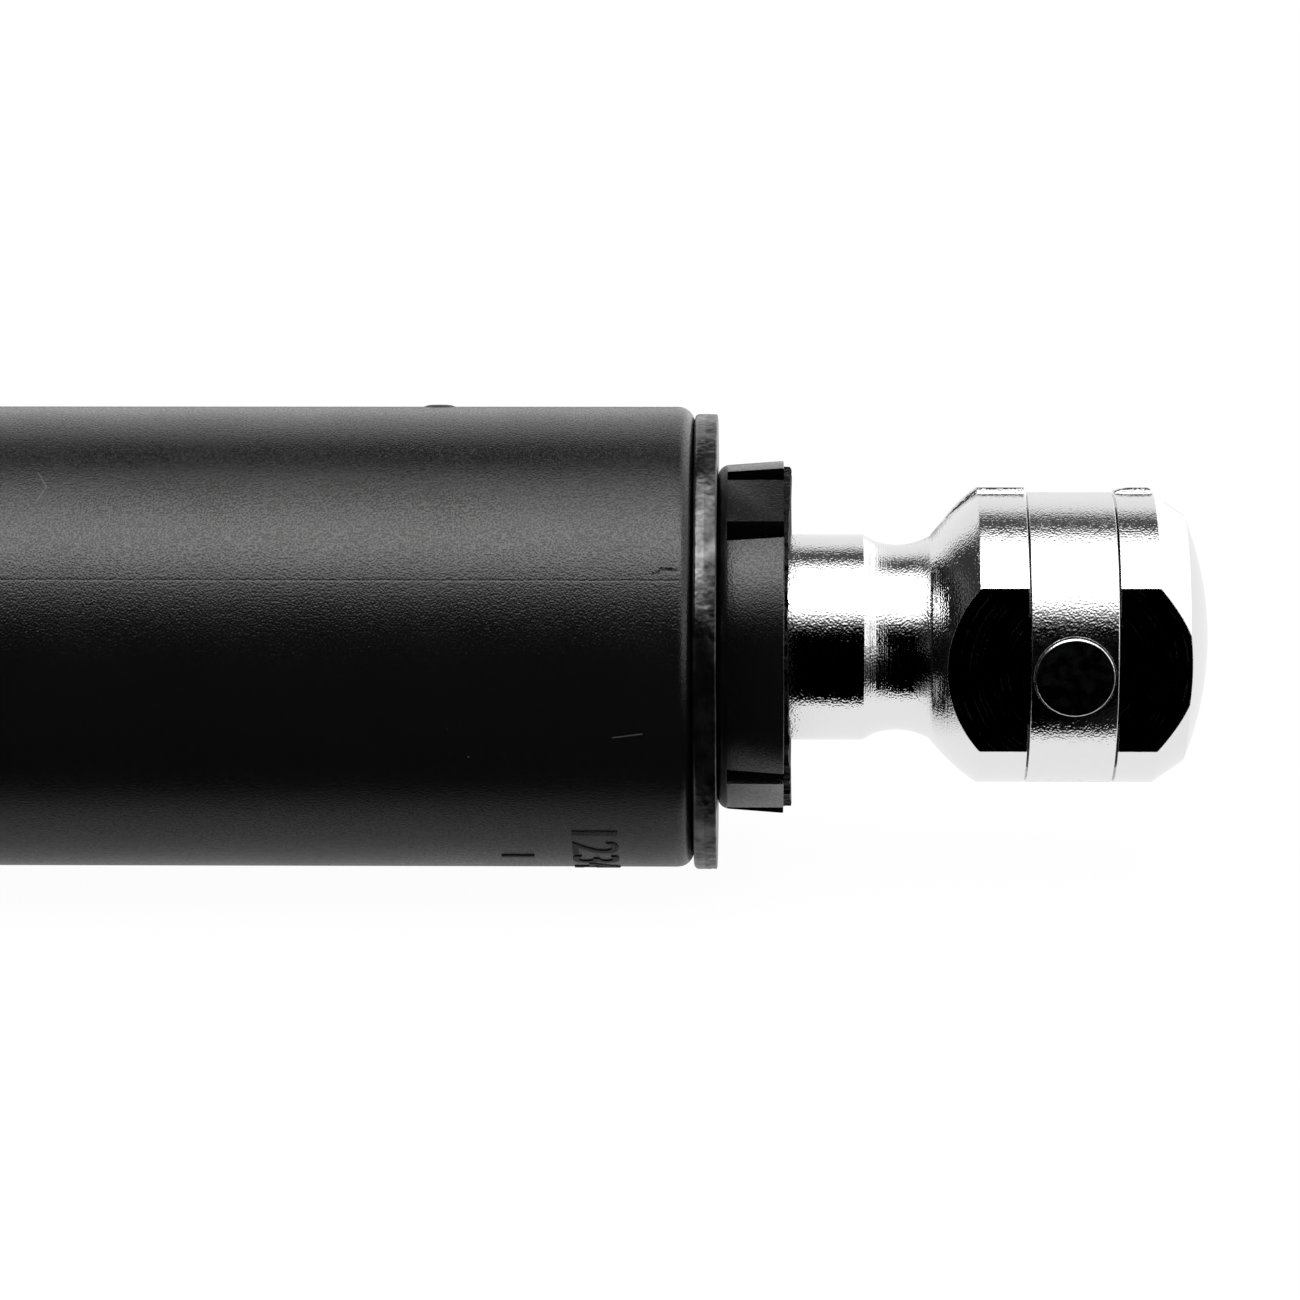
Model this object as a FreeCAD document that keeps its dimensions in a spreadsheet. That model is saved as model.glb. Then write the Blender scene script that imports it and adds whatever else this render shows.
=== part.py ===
import FreeCAD, Part
import math
import os
import re
import Sketcher
from FreeCAD import Vector

# Spring-assisted gas strut for a tailgate, fully out as it is fitted.
# The origin is the centre of the ball pocket on the cylinder end.
# The strut runs from there along -X, and both ball pockets open along +Y.

os.makedirs("parts", exist_ok=True)
doc = FreeCAD.newDocument("tailgate_strut")

# Driving dimensions, in millimetres and degrees
SIZES = {
    # Travel, and the room left over when the strut is fully in
    "stroke": 190.0,
    "stop_gap": 0.3,
    "gas_reserve": 20.0,
    "rod_reserve": 4.56,
    "tube_reserve": 6.7,
    "tube_overlap": 43.3,
    # Ball socket
    "ball_bore": 10.1,
    "ball_to_mouth": 6.0,
    "mouth_chamfer": 0.5,
    "head_wall": 3.75,
    "neck_land": 2.85,
    "nose_land": 2.35,
    "shoulder_rise": 0.35,
    "shoulder_offset": 1.0,
    "shoulder_inset": 0.42,
    "shoulder_bow": 0.18,
    "shoulder_nose_length": 0.83,
    "shoulder_nose_sink": 0.06,
    "shoulder_nose_land": 0.37,
    "shoulder_nose_bow": 0.22,
    "nose_chamfer_length": 1.88,
    "nose_chamfer_drop": 1.3,
    "nose_dome": 1.5,
    "flat_depth": 1.6,
    "head_cone_length": 2.85,
    "head_cone_drop": 2.65,
    "head_cone_bow": 0.16,
    "neck_length": 3.38,
    "neck_dip": 0.37,
    "shank_chamfer_length": 0.67,
    "shank_chamfer_drop": 0.38,
    "shank_dia": 12.5,
    "shank_front": 4.35,
    # Socket clip and its pin
    "clip_width": 5.2,
    "clip_side_gap": 0.12,
    "clip_thickness": 0.85,
    "clip_seat_gap": 0.05,
    "clip_lift": 2.0,
    "hook_width": 2.4,
    "hook_low": 1.45,
    "hook_depth": 1.0,
    "hook_catch": 0.2,
    "hook_ramp": 0.5,
    "hook_bend": 1.0,
    "leg_length": 1.2,
    "window_gap": 0.1,
    "pin_dia": 4.75,
    "pin_fit": 0.01,
    "pin_rim": 0.15,
    "pin_proud": 0.05,
    "pin_floor_wall": 0.65,
    "pin_clip_gap": 0.075,
    # Threads, drawn as plain cylinders
    "thread_dia": 6.0,
    "thread_fit": 0.02,
    "thread_length": 10.5,
    "thread_runout": 0.6,
    "drill_slope": 0.6,
    # Lock ring, collar, snap ring and end washer
    "tooth_ring_thickness": 0.45,
    "tooth_ring_inset": 0.1,
    "tooth_depth": 0.3,
    "tooth_count": 40,
    "notch_share": 0.7,
    "press_gap": 0.02,
    "collar_length": 4.0,
    "collar_rim": 2.65,
    "collar_flare": 0.3,
    "collar_corner": 0.75,
    "collar_wall": 1.15,
    "collar_cup_depth": 1.7,
    "collar_gap": 0.1,
    "finger_count": 3,
    "finger_width": 4.2,
    "finger_flat": 0.15,
    "finger_angle": 111.5,
    "slot_width": 1.4,
    "slot_depth": 3.4,
    "slot_undercut": 0.9,
    "snap_ring_thickness": 1.2,
    "snap_ring_height": 2.05,
    "snap_ring_opening": 5.0,
    "snap_groove_depth": 0.65,
    "washer_thickness": 1.4,
    "washer_inset": 0.15,
    "washer_edge": 0.2,
    "washer_drop": 0.3,
    "shank_clearance": 0.3,
    # Telescoping cover tubes
    "end_wall": 2.0,
    "outer_tube_wall": 1.2,
    "inner_tube_wall": 1.0,
    "tube_slide_gap": 0.2,
    "tube_corner": 1.0,
    "tube_lead": 0.4,
    # Helper spring
    "wire_dia": 2.0,
    "spring_turns": 46,
    "spring_end_turns": 1,
    "spring_end_gap": 0.5,
    "spring_gap": 0.4,
    "spring_tube_gap": 0.2,
    "spring_seat_gap": 0.02,
    # Gas spring cylinder
    "pressure_tube_dia": 18.0,
    "pressure_tube_wall": 1.2,
    "crimp_thickness": 1.5,
    "crimp_clearance": 1.2,
    "crimp_corner": 1.0,
    "pressure_tube_end_gap": 0.5,
    "bead_depth": 0.6,
    "bead_width": 2.0,
    "plug_length": 10.0,
    "plug_boss_gap": 0.1,
    "stud_chamfer": 0.5,
    "fit_gap": 0.03,
    "o_ring_section": 1.8,
    "o_ring_side_gap": 0.2,
    "guide_length": 10.0,
    "guide_groove_depth": 1.0,
    "guide_groove_width": 4.0,
    "seal_length": 6.0,
    "seal_groove": 1.4,
    "seal_washer_thickness": 1.5,
    "seal_washer_gap": 0.2,
    # Rod and piston
    "rod_dia": 8.0,
    "spigot_dia": 5.0,
    "rivet_lip": 1.2,
    "rivet_length": 1.5,
    "rivet_chamfer": 0.5,
    "support_washer_thickness": 1.5,
    "stop_lap": 0.15,
    "piston_length": 9.0,
    "piston_gap": 0.2,
    "piston_ring_width": 3.0,
    "piston_ring_height": 1.3,
    "piston_ring_play": 0.06,
    "piston_ring_slit": 0.6,
    "valve_disc_thickness": 0.8,
    "valve_disc_lap": 0.9,
    "oil_passage_dia": 1.2,
    "oil_passage_count": 2,
}

# Sizes and places that follow from the driving dimensions
FOLLOWS = {
    # Ball socket, measured from the ball centre
    "ball_radius": "ball_bore / 2",
    "head_radius": "ball_radius + head_wall",
    "shoulder_radius": "head_radius + shoulder_rise",
    "groove_half": "clip_width / 2 + clip_side_gap",
    "groove_radius": "head_radius - clip_thickness - clip_seat_gap",
    "head_start": "groove_half + nose_land",
    "head_end": "groove_half + neck_land",
    "nose_edge": "head_start + nose_chamfer_length",
    "nose_radius": "head_radius - nose_chamfer_drop",
    "nose_tip": "nose_edge + nose_dome",
    "mouth_radius": "ball_radius + mouth_chamfer",
    "clear_of_head": "shoulder_radius + mouth_chamfer",
    "dome_radius": "(nose_radius ^ 2 + nose_dome ^ 2) / (2 * nose_dome)",
    "cone_end": "head_end + head_cone_length",
    "cone_radius": "head_radius - head_cone_drop",
    "cone_chord": "sqrt(head_cone_length ^ 2 + head_cone_drop ^ 2)",
    "cone_bow_radius": "(cone_chord ^ 2 / 4 + head_cone_bow ^ 2) / (2 * head_cone_bow)",
    "shoulder_start": "cone_end - shoulder_inset",
    "shoulder_foot": "cone_radius + shoulder_inset * head_cone_drop / head_cone_length",
    "shoulder_chord": "sqrt((shoulder_start - head_end) ^ 2 + (shoulder_radius - shoulder_foot) ^ 2)",
    "shoulder_bow_radius": "(shoulder_chord ^ 2 / 4 + shoulder_bow ^ 2) / (2 * shoulder_bow)",
    "shoulder_end": "head_start + shoulder_nose_length",
    "shoulder_end_radius": "head_radius - nose_chamfer_drop * shoulder_nose_length / nose_chamfer_length"
                           " - shoulder_nose_sink",
    "shoulder_land_end": "head_start - shoulder_nose_land",
    "shoulder_nose_chord": "sqrt((shoulder_end - shoulder_land_end) ^ 2"
                           " + (shoulder_radius - shoulder_end_radius) ^ 2)",
    "shoulder_nose_radius": "(shoulder_nose_chord ^ 2 / 4 + shoulder_nose_bow ^ 2)"
                            " / (2 * shoulder_nose_bow)",
    "neck_end": "cone_end + neck_length",
    "neck_end_radius": "shank_radius - shank_chamfer_drop",
    "neck_radius": "(neck_length ^ 2 / 4 + neck_dip ^ 2) / (2 * neck_dip)",
    "shank_start": "neck_end + shank_chamfer_length",
    "shank_radius": "shank_dia / 2",
    "flat_face": "head_radius - flat_depth",
    "thread_radius": "thread_dia / 2",
    "thread_bore": "thread_radius + thread_fit",
    "bore_floor": "wall_face - thread_length - thread_runout",
    "drill_point": "bore_floor - thread_bore * drill_slope",
    "shoulder_core": "cone_radius / 2",
    "shoulder_angle": "2 * acos(shoulder_offset / shoulder_radius)",
    # Stack of rings on the shank, from the ball centre towards the middle
    "ring_face": "shank_start + shank_front",
    "collar_face": "ring_face + tooth_ring_thickness",
    "washer_face": "collar_face + collar_length",
    "tube_face": "washer_face + washer_thickness",
    "wall_face": "tube_face + end_wall",
    "snap_floor": "shank_radius - snap_groove_depth",
    "snap_radius": "snap_floor + press_gap + snap_ring_height",
    "collar_bore": "snap_radius + collar_gap",
    "collar_radius": "collar_bore + collar_rim",
    "cup_radius": "collar_radius - collar_wall",
    "cup_floor": "collar_face + collar_cup_depth",
    "slot_floor": "cup_radius - slot_undercut",
    "slot_top": "collar_radius + collar_flare + slot_width",
    "slot_reach": "finger_width / 2 + slot_width",
    "flat_top": "collar_radius - finger_flat",
    "ring_radius": "collar_radius - tooth_ring_inset",
    "tooth_root": "ring_radius - tooth_depth",
    "tooth_half": "pi * ring_radius / tooth_count * notch_share",
    "snap_face": "washer_face - snap_ring_thickness",
    # Clip and pin
    "clip_radius": "groove_radius + clip_seat_gap",
    "clip_outer": "clip_radius + clip_thickness",
    "hook_tip": "ball_radius - hook_catch",
    "hook_top": "hook_low + hook_depth",
    "hook_half": "hook_width / 2",
    "window_half": "hook_half + window_gap",
    "window_low": "hook_low - clip_lift - window_gap",
    "window_high": "hook_top + window_gap",
    "clip_half": "clip_width / 2",
    "pin_hole": "pin_radius + pin_fit",
    "clip_hole": "pin_radius + pin_clip_gap",
    "pin_radius": "pin_dia / 2",
    "pin_root": "ball_radius + pin_floor_wall",
    "pin_end": "clip_outer + pin_proud",
    # Radii from the rod outwards
    "rod_radius": "rod_dia / 2",
    "pressure_radius": "pressure_tube_dia / 2",
    "pressure_bore": "pressure_radius - pressure_tube_wall",
    "spring_inside": "pressure_radius + spring_gap",
    "spring_outside": "spring_inside + wire_dia",
    "inner_tube_bore": "spring_outside + spring_tube_gap",
    "inner_tube_radius": "inner_tube_bore + inner_tube_wall",
    "outer_tube_bore": "inner_tube_radius + tube_slide_gap",
    "outer_tube_radius": "outer_tube_bore + outer_tube_wall",
    "washer_radius": "outer_tube_radius - washer_inset",
    "shank_hole": "shank_radius + shank_clearance",
    # Gas spring, measured from the ball centre towards the rod end
    "pressure_start": "wall_face + pressure_tube_end_gap",
    "plug_start": "pressure_start + crimp_thickness",
    "plug_end": "plug_start + plug_length",
    "plug_middle": "plug_start + plug_length / 2",
    "stud_tip": "wall_face - thread_length",
    "crimp_bore": "rod_radius + crimp_clearance",
    "crimp_edge": "pressure_radius - crimp_corner",
    "boss_radius": "crimp_bore - plug_boss_gap",
    "packing_radius": "pressure_bore - fit_gap",
    "o_ring_centre": "packing_radius - o_ring_section / 2",
    "o_ring_floor": "o_ring_centre - o_ring_section / 2 - fit_gap",
    "o_ring_half": "o_ring_section / 2 + o_ring_side_gap",
    # Piston stack, drawn fully out, a stroke and the gas reserve from the plug
    "rivet_end": "plug_end + gas_reserve + stroke",
    "disc_start": "rivet_end + rivet_length",
    "piston_start": "disc_start + valve_disc_thickness",
    "piston_middle": "piston_start + piston_length / 2",
    "piston_end": "piston_start + piston_length",
    "support_end": "piston_end + support_washer_thickness",
    "spigot_radius": "spigot_dia / 2",
    "stack_bore": "spigot_radius + press_gap",
    "rivet_radius": "spigot_radius + rivet_lip",
    "piston_radius": "pressure_bore - piston_gap",
    "piston_ring_radius": "pressure_bore - fit_gap",
    "piston_ring_bore": "piston_ring_radius - piston_ring_height",
    "piston_groove_radius": "piston_ring_bore - piston_ring_play",
    "piston_groove_half": "piston_ring_width / 2 + piston_ring_play",
    "passage_place": "(stack_bore + piston_groove_radius) / 2",
    "disc_radius": "passage_place + oil_passage_dia / 2 + valve_disc_lap",
    "support_radius": "bead_bore + stop_lap",
    # Stop bead, seal and guide, which close the tube
    "bead_start": "support_end + stop_gap",
    "bead_bore": "pressure_bore - bead_depth",
    "bead_slope": "bead_width / 4",
    "seal_washer_start": "bead_start + bead_width",
    "seal_start": "seal_washer_start + seal_washer_thickness",
    "seal_middle": "(packing_radius + guide_bore) / 2",
    "guide_start": "seal_start + seal_length",
    "guide_middle": "guide_start + guide_length / 2",
    "guide_end": "guide_start + guide_length",
    "guide_bore": "rod_radius + fit_gap",
    "guide_waist": "packing_radius - guide_groove_depth",
    "pressure_end": "guide_end + crimp_thickness",
    # Rod end, and the cover tubes between the two ends
    "rod_shoulder": "pressure_end + stroke + rod_reserve",
    "rod_end": "rod_shoulder + thread_length",
    "extended_length": "rod_shoulder + wall_face",
    "rod_wall": "extended_length - tube_face",
    "outer_tube_end": "rod_wall - stroke - tube_reserve",
    "inner_tube_end": "outer_tube_end - tube_overlap",
}

sheet = doc.addObject("Spreadsheet::Sheet", "Sizes")
for row, (name, number) in enumerate(SIZES.items(), start=1):
    sheet.set(f"A{row}", name)
    sheet.set(f"B{row}", str(number))
    sheet.setAlias(f"B{row}", name)
doc.recompute()


def formula(text):
    """Writes a formula of short names out as references to the sheet."""
    def written_out(match):
        word = match.group(0)
        if word in FOLLOWS:
            return "(" + formula(FOLLOWS[word]) + ")"
        return "Sizes." + word if word in SIZES else word
    return re.sub(r"[a-z_]+", written_out, text)


def size(text):
    """The value of a formula, in millimetres or degrees."""
    return float(sheet.evalExpression(formula(text)))


# Sketches and features that several pieces share

def origin_part(body, role):
    return next(item for item in body.Origin.OriginFeatures if item.Role == role)


def new_sketch(body, name, plane, offset=None, turn=None):
    sketch = body.newObject("Sketcher::SketchObject", name)
    sketch.AttachmentSupport = (origin_part(body, plane), [""])
    sketch.MapMode = "FlatFace"
    if offset:
        sketch.setExpression("AttachmentOffset.Base.z", formula(offset))
    if turn:
        sketch.setExpression("AttachmentOffset.Rotation.Angle", formula(turn))
    return sketch


def arc_side(start, end, radius, bulge):
    """An arc between two corners, anticlockwise, with the ends it starts and stops at.

    It bulges to the left or the right of the way from start to end.
    """
    chord = end - start
    sagitta = radius - math.sqrt(radius ** 2 - chord.Length ** 2 / 4)
    to_left = Vector(-chord.y, chord.x, 0).normalize()
    if bulge == "left":
        return Part.Arc(end, (start + end) / 2 + to_left * sagitta, start), (2, 1)
    return Part.Arc(start, (start + end) / 2 - to_left * sagitta, end), (1, 2)


def draw(sketch, corners):
    """Draws a closed outline of (across, up) corners, each bound to the sheet.

    A corner of four entries also gives the radius of the arc that leaves it
    and the side of its run that the arc bulges to.
    """
    places = [Vector(size(corner[0]), size(corner[1]), 0) for corner in corners]
    sides = []
    for number, corner in enumerate(corners):
        start = places[number]
        end = places[(number + 1) % len(corners)]
        if len(corner) == 4:
            side, ends = arc_side(start, end, size(corner[2]), corner[3])
        else:
            side, ends = Part.LineSegment(start, end), (1, 2)
        sides.append((sketch.addGeometry(side), ends))
    for number, corner in enumerate(corners):
        side, (start, end) = sides[number]
        following, (next_start, next_end) = sides[(number + 1) % len(corners)]
        sketch.addConstraint(Sketcher.Constraint("Coincident", side, end, following, next_start))
        bind_place(sketch, "DistanceX", corner[0], places[number].x, side, start)
        bind_place(sketch, "DistanceY", corner[1], places[number].y, side, start)
        if len(corner) == 4:
            bound = sketch.addConstraint(Sketcher.Constraint("Radius", side, size(corner[2])))
            sketch.setExpression(f"Constraints[{bound}]", formula(corner[2]))


def bind_place(sketch, kind, text, place, side, end):
    """Holds one end of a side at its distance from the origin, or on an axis."""
    if text == "0":
        axis = -2 if kind == "DistanceX" else -1
        sketch.addConstraint(Sketcher.Constraint("PointOnObject", side, end, axis))
        return
    bound = sketch.addConstraint(Sketcher.Constraint(kind, -1, 1, side, end, place))
    sketch.setExpression(f"Constraints[{bound}]", formula(text))


def box_outline(left, low, right, high):
    return [(left, low), (right, low), (right, high), (left, high)]


def new_body(label):
    body = doc.addObject("PartDesign::Body", label)
    body.Label = label
    return body


def turn_solid(body, name, corners, axis="H_Axis", offset=None):
    """Turns an outline once round an axis of its sketch."""
    sketch = new_sketch(body, name + "_outline", "XY_Plane", offset)
    draw(sketch, corners)
    turned = body.newObject("PartDesign::Revolution", name)
    turned.Profile = sketch
    turned.ReferenceAxis = (sketch, [axis])
    turned.Angle = 360
    return turned


def turned_body(label, corners, axis="H_Axis"):
    body = new_body(label)
    turn_solid(body, label + "_turned", corners, axis)
    return body


def turn_cut(body, name, corners, axis="H_Axis"):
    """Cuts an outline away all round an axis."""
    before = solid_volume(body)
    sketch = new_sketch(body, name + "_outline", "XY_Plane")
    draw(sketch, corners)
    groove = body.newObject("PartDesign::Groove", name)
    groove.Profile = sketch
    groove.ReferenceAxis = (sketch, [axis])
    groove.Angle = 360
    must_shrink(body, before, name)
    return groove


def solid_volume(body):
    doc.recompute()
    return body.Shape.Volume


def must_shrink(body, before, name):
    """A cut that takes nothing away points the wrong way."""
    if solid_volume(body) >= before - 1e-6:
        raise RuntimeError(name + " cuts nothing")


def cut_both_ways(body, name, corners):
    """Cuts an outline through the whole body, on both sides of its plane."""
    before = solid_volume(body)
    sketch = new_sketch(body, name + "_outline", "XY_Plane")
    draw(sketch, corners)
    pocket = body.newObject("PartDesign::Pocket", name)
    pocket.Profile = sketch
    pocket.SideType = "Symmetric"
    pocket.Type = "ThroughAll"
    must_shrink(body, before, name)
    return pocket


def cut_in(body, name, outline, face, depth, turn=None):
    """Cuts towards -X from a plane across the strut, as deep as it says."""
    before = solid_volume(body)
    sketch = new_sketch(body, name + "_outline", "YZ_Plane", offset=face, turn=turn)
    draw(sketch, outline)
    pocket = body.newObject("PartDesign::Pocket", name)
    pocket.Profile = sketch
    pocket.Type = "Length"
    pocket.setExpression("Length", formula(depth))
    must_shrink(body, before, name)
    return pocket


def repeat_round(body, name, feature, count):
    """Repeats a feature evenly round the strut's axis."""
    pattern = body.newObject("PartDesign::PolarPattern", name)
    pattern.Originals = [feature]
    pattern.Axis = (origin_part(body, "X_Axis"), [""])
    pattern.Angle = 360
    pattern.setExpression("Occurrences", formula(count))
    body.Tip = pattern
    return pattern


def part_turn(body, name, angle, corners):
    """Turns an outline part of the way, evenly to both sides of its plane."""
    sketch = new_sketch(body, name + "_outline", "XY_Plane")
    draw(sketch, corners)
    turned = body.newObject("PartDesign::Revolution", name)
    turned.Profile = sketch
    turned.ReferenceAxis = (sketch, ["H_Axis"])
    turned.Midplane = True
    turned.setExpression("Angle", formula(angle))
    return turned


def add_both_ways(body, name, width, outlines):
    """Adds outlines drawn across the strut, evenly to both sides."""
    sketch = new_sketch(body, name + "_outline", "YZ_Plane")
    for corners in outlines:
        draw(sketch, corners)
    pad = body.newObject("PartDesign::Pad", name)
    pad.Profile = sketch
    pad.SideType = "Symmetric"
    pad.setExpression("Length", formula(width))
    return pad


def draw_circle(sketch, across, radius):
    """Draws a circle whose centre lies on the sketch's own horizontal axis."""
    centre = Vector(size(across), 0, 0)
    circle = sketch.addGeometry(Part.Circle(centre, Vector(0, 0, 1), size(radius)))
    sketch.addConstraint(Sketcher.Constraint("PointOnObject", circle, 3, -1))
    bound = sketch.addConstraint(Sketcher.Constraint("DistanceX", -1, 1, circle, 3, centre.x))
    sketch.setExpression(f"Constraints[{bound}]", formula(across))
    bound = sketch.addConstraint(Sketcher.Constraint("Radius", circle, size(radius)))
    sketch.setExpression(f"Constraints[{bound}]", formula(radius))


def ring_outline(near, far, bore, radius):
    """A plain ring on the strut, near and far being distances from the ball."""
    return box_outline(f"-({far})", bore, f"-({near})", radius)


# Pieces that each end of the strut carries

def ball_socket(label):
    """Turned and plated socket: ball pocket, clip groove, neck and shank."""
    body = turned_body(label, [
        ("-wall_face", "0"),
        ("nose_tip", "0", "dome_radius", "right"),
        ("nose_edge", "nose_radius"),
        ("head_start", "head_radius"),
        ("-head_end", "head_radius", "cone_bow_radius", "right"),
        ("-cone_end", "cone_radius", "neck_radius", "left"),
        ("-neck_end", "neck_end_radius"),
        ("-shank_start", "shank_radius"),
        ("-wall_face", "shank_radius"),
    ])
    # The half of the head round the pocket's mouth is a little larger
    part_turn(body, label + "_shoulder", "shoulder_angle", [
        ("-shoulder_start", "shoulder_core"),
        ("shoulder_end", "shoulder_core"),
        ("shoulder_end", "shoulder_end_radius", "shoulder_nose_radius", "right"),
        ("shoulder_land_end", "shoulder_radius"),
        ("-head_end", "shoulder_radius", "shoulder_bow_radius", "right"),
        ("-shoulder_start", "shoulder_foot"),
    ])
    turn_cut(body, label + "_clip_groove", box_outline(
        "-groove_half", "groove_radius", "groove_half", "clear_of_head"))
    cut_both_ways(body, label + "_front_flat", box_outline(
        "-cone_end", "-clear_of_head", "nose_tip", "-flat_face"))
    cut_both_ways(body, label + "_mouth_face", box_outline(
        "-cone_end", "ball_to_mouth", "nose_tip", "clear_of_head"))
    turn_cut(body, label + "_ball_pocket", [
        ("0", "-ball_radius", "ball_radius", "right"),
        ("ball_radius", "0"),
        ("ball_radius", "ball_to_mouth - mouth_chamfer"),
        ("mouth_radius", "ball_to_mouth"),
        ("mouth_radius", "clear_of_head"),
        ("0", "clear_of_head"),
    ], axis="V_Axis")
    turn_cut(body, label + "_pin_hole", [
        ("0", "-clear_of_head"),
        ("pin_hole", "-clear_of_head"),
        ("pin_hole", "-pin_root"),
        ("0", "-pin_root"),
    ], axis="V_Axis")
    cut_both_ways(body, label + "_hook_windows", box_outline(
        "-window_half", "window_low", "window_half", "window_high"))
    turn_cut(body, label + "_thread", [
        ("-(wall_face + thread_runout)", "0"),
        ("-(wall_face + thread_runout)", "thread_bore"),
        ("-bore_floor", "thread_bore"),
        ("-drill_point", "0"),
    ])
    turn_cut(body, label + "_snap_groove", box_outline(
        "-(washer_face + press_gap)", "snap_floor", "-(snap_face - press_gap)", "clear_of_head"))
    return body


def socket_clip(label):
    """Sprung band round the head, whose two hooks reach in behind the ball."""
    body = new_body(label)
    part_turn(body, label + "_band", "180", box_outline(
        "-clip_half", "-clip_outer", "clip_half", "-clip_radius"))
    add_both_ways(body, label + "_legs", "clip_width", [
        box_outline("0", "clip_radius", "leg_length", "clip_outer"),
        box_outline("0", "-clip_outer", "leg_length", "-clip_radius"),
    ])
    hook = [
        ("0", "clip_radius"),
        ("0", "clip_outer"),
        ("hook_top - hook_bend", "clip_outer"),
        ("hook_top", "clip_outer - hook_bend"),
        ("hook_top", "hook_tip + hook_ramp"),
        ("hook_top - hook_ramp", "hook_tip"),
        ("hook_low", "hook_tip"),
        ("hook_low", "clip_radius"),
    ]
    opposite_hook = [(across, f"-({up})") for across, up in hook]
    add_both_ways(body, label + "_hooks", "hook_width", [hook, opposite_hook])
    turn_cut(body, label + "_pin_hole", [
        ("0", "-(clip_outer + pin_rim)"),
        ("clip_hole", "-(clip_outer + pin_rim)"),
        ("clip_hole", "-flat_face"),
        ("0", "-flat_face"),
    ], axis="V_Axis")
    return body


def clip_pin(label):
    """Flat-headed dowel in the socket that the clip's hole drops over."""
    return turned_body(label, [
        ("0", "-pin_end"),
        ("pin_radius - pin_rim", "-pin_end"),
        ("pin_radius", "-(pin_end - pin_rim)"),
        ("pin_radius", "-pin_root"),
        ("0", "-pin_root"),
    ], axis="V_Axis")


def lock_ring(label):
    """Thin toothed ring pushed on to the shank, closing the collar."""
    body = turned_body(label, ring_outline(
        "ring_face", "collar_face", "shank_radius + press_gap", "ring_radius"))
    notch = cut_in(body, label + "_notch", [
        ("tooth_root", "0"),
        ("ring_radius + tooth_depth", "-tooth_half"),
        ("ring_radius + tooth_depth", "tooth_half"),
    ], "-ring_face", "tooth_ring_thickness")
    repeat_round(body, label + "_teeth", notch, "tooth_count")
    return body


def lock_collar(label):
    """Moulded cup with three flat-faced fingers, which traps the snap ring."""
    body = turned_body(label, [
        ("-washer_face", "collar_bore"),
        ("-washer_face", "collar_radius - collar_corner", "collar_corner", "left"),
        ("-(washer_face - collar_corner)", "collar_radius"),
        ("-collar_face", "collar_radius + collar_flare"),
        ("-collar_face", "cup_radius"),
        ("-cup_floor", "cup_radius"),
        ("-cup_floor", "shank_radius + press_gap"),
        ("-(snap_face - press_gap)", "shank_radius + press_gap"),
        ("-(snap_face - press_gap)", "collar_bore"),
    ])
    slots = cut_in(body, label + "_slots", [
        ("slot_floor", "-slot_reach"),
        ("slot_top", "-slot_reach"),
        ("slot_top", "slot_reach"),
        ("slot_floor", "slot_reach"),
        ("slot_floor", "finger_width / 2"),
        ("flat_top", "finger_width / 2"),
        ("flat_top", "-finger_width / 2"),
        ("slot_floor", "-finger_width / 2"),
    ], "-collar_face", "slot_depth", turn="finger_angle")
    repeat_round(body, label + "_fingers", slots, "finger_count")
    return body


def snap_ring(label):
    """Open steel ring in the shank's groove, which carries the end washer."""
    body = turned_body(label, ring_outline(
        "snap_face", "washer_face", "snap_floor + press_gap", "snap_radius"))
    cut_in(body, label + "_opening", box_outline(
        "0", "-snap_ring_opening / 2", "snap_radius + collar_gap", "snap_ring_opening / 2"),
        "-snap_face", "snap_ring_thickness")
    return body


def end_washer(label):
    """Stamped steel washer between the cover tube and the snap ring; its rim hangs low."""
    body = new_body(label)
    turn_solid(body, label + "_disc", [
        ("-tube_face", "0"),
        ("-washer_face", "0"),
        ("-washer_face", "washer_radius - washer_edge"),
        ("-(washer_face + washer_edge)", "washer_radius"),
        ("-(tube_face - washer_edge)", "washer_radius"),
        ("-tube_face", "washer_radius - washer_edge"),
    ], offset="-washer_drop")
    turn_cut(body, label + "_hole", box_outline("-wall_face", "0", "-collar_face", "shank_hole"))
    return body


END_PIECES = {
    "ball_socket": ball_socket,
    "socket_clip": socket_clip,
    "clip_pin": clip_pin,
    "lock_ring": lock_ring,
    "lock_collar": lock_collar,
    "snap_ring": snap_ring,
    "end_washer": end_washer,
}


# Pieces of the gas spring and its covers

def pressure_tube():
    """Steel tube, rolled in over the plug and the guide, with a stop bead."""
    return turned_body("pressure_tube", [
        ("-pressure_start", "crimp_bore"),
        ("-pressure_start", "crimp_edge", "crimp_corner", "right"),
        ("-(pressure_start + crimp_corner)", "pressure_radius"),
        ("-bead_start", "pressure_radius"),
        ("-(bead_start + bead_slope)", "pressure_radius - bead_depth"),
        ("-(seal_washer_start - bead_slope)", "pressure_radius - bead_depth"),
        ("-seal_washer_start", "pressure_radius"),
        ("-(pressure_end - crimp_corner)", "pressure_radius", "crimp_corner", "right"),
        ("-pressure_end", "crimp_edge"),
        ("-pressure_end", "crimp_bore"),
        ("-guide_end", "crimp_bore"),
        ("-guide_end", "pressure_bore"),
        ("-seal_washer_start", "pressure_bore"),
        ("-(seal_washer_start - bead_slope)", "bead_bore"),
        ("-(bead_start + bead_slope)", "bead_bore"),
        ("-bead_start", "pressure_bore"),
        ("-plug_start", "pressure_bore"),
        ("-plug_start", "crimp_bore"),
    ])


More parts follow.
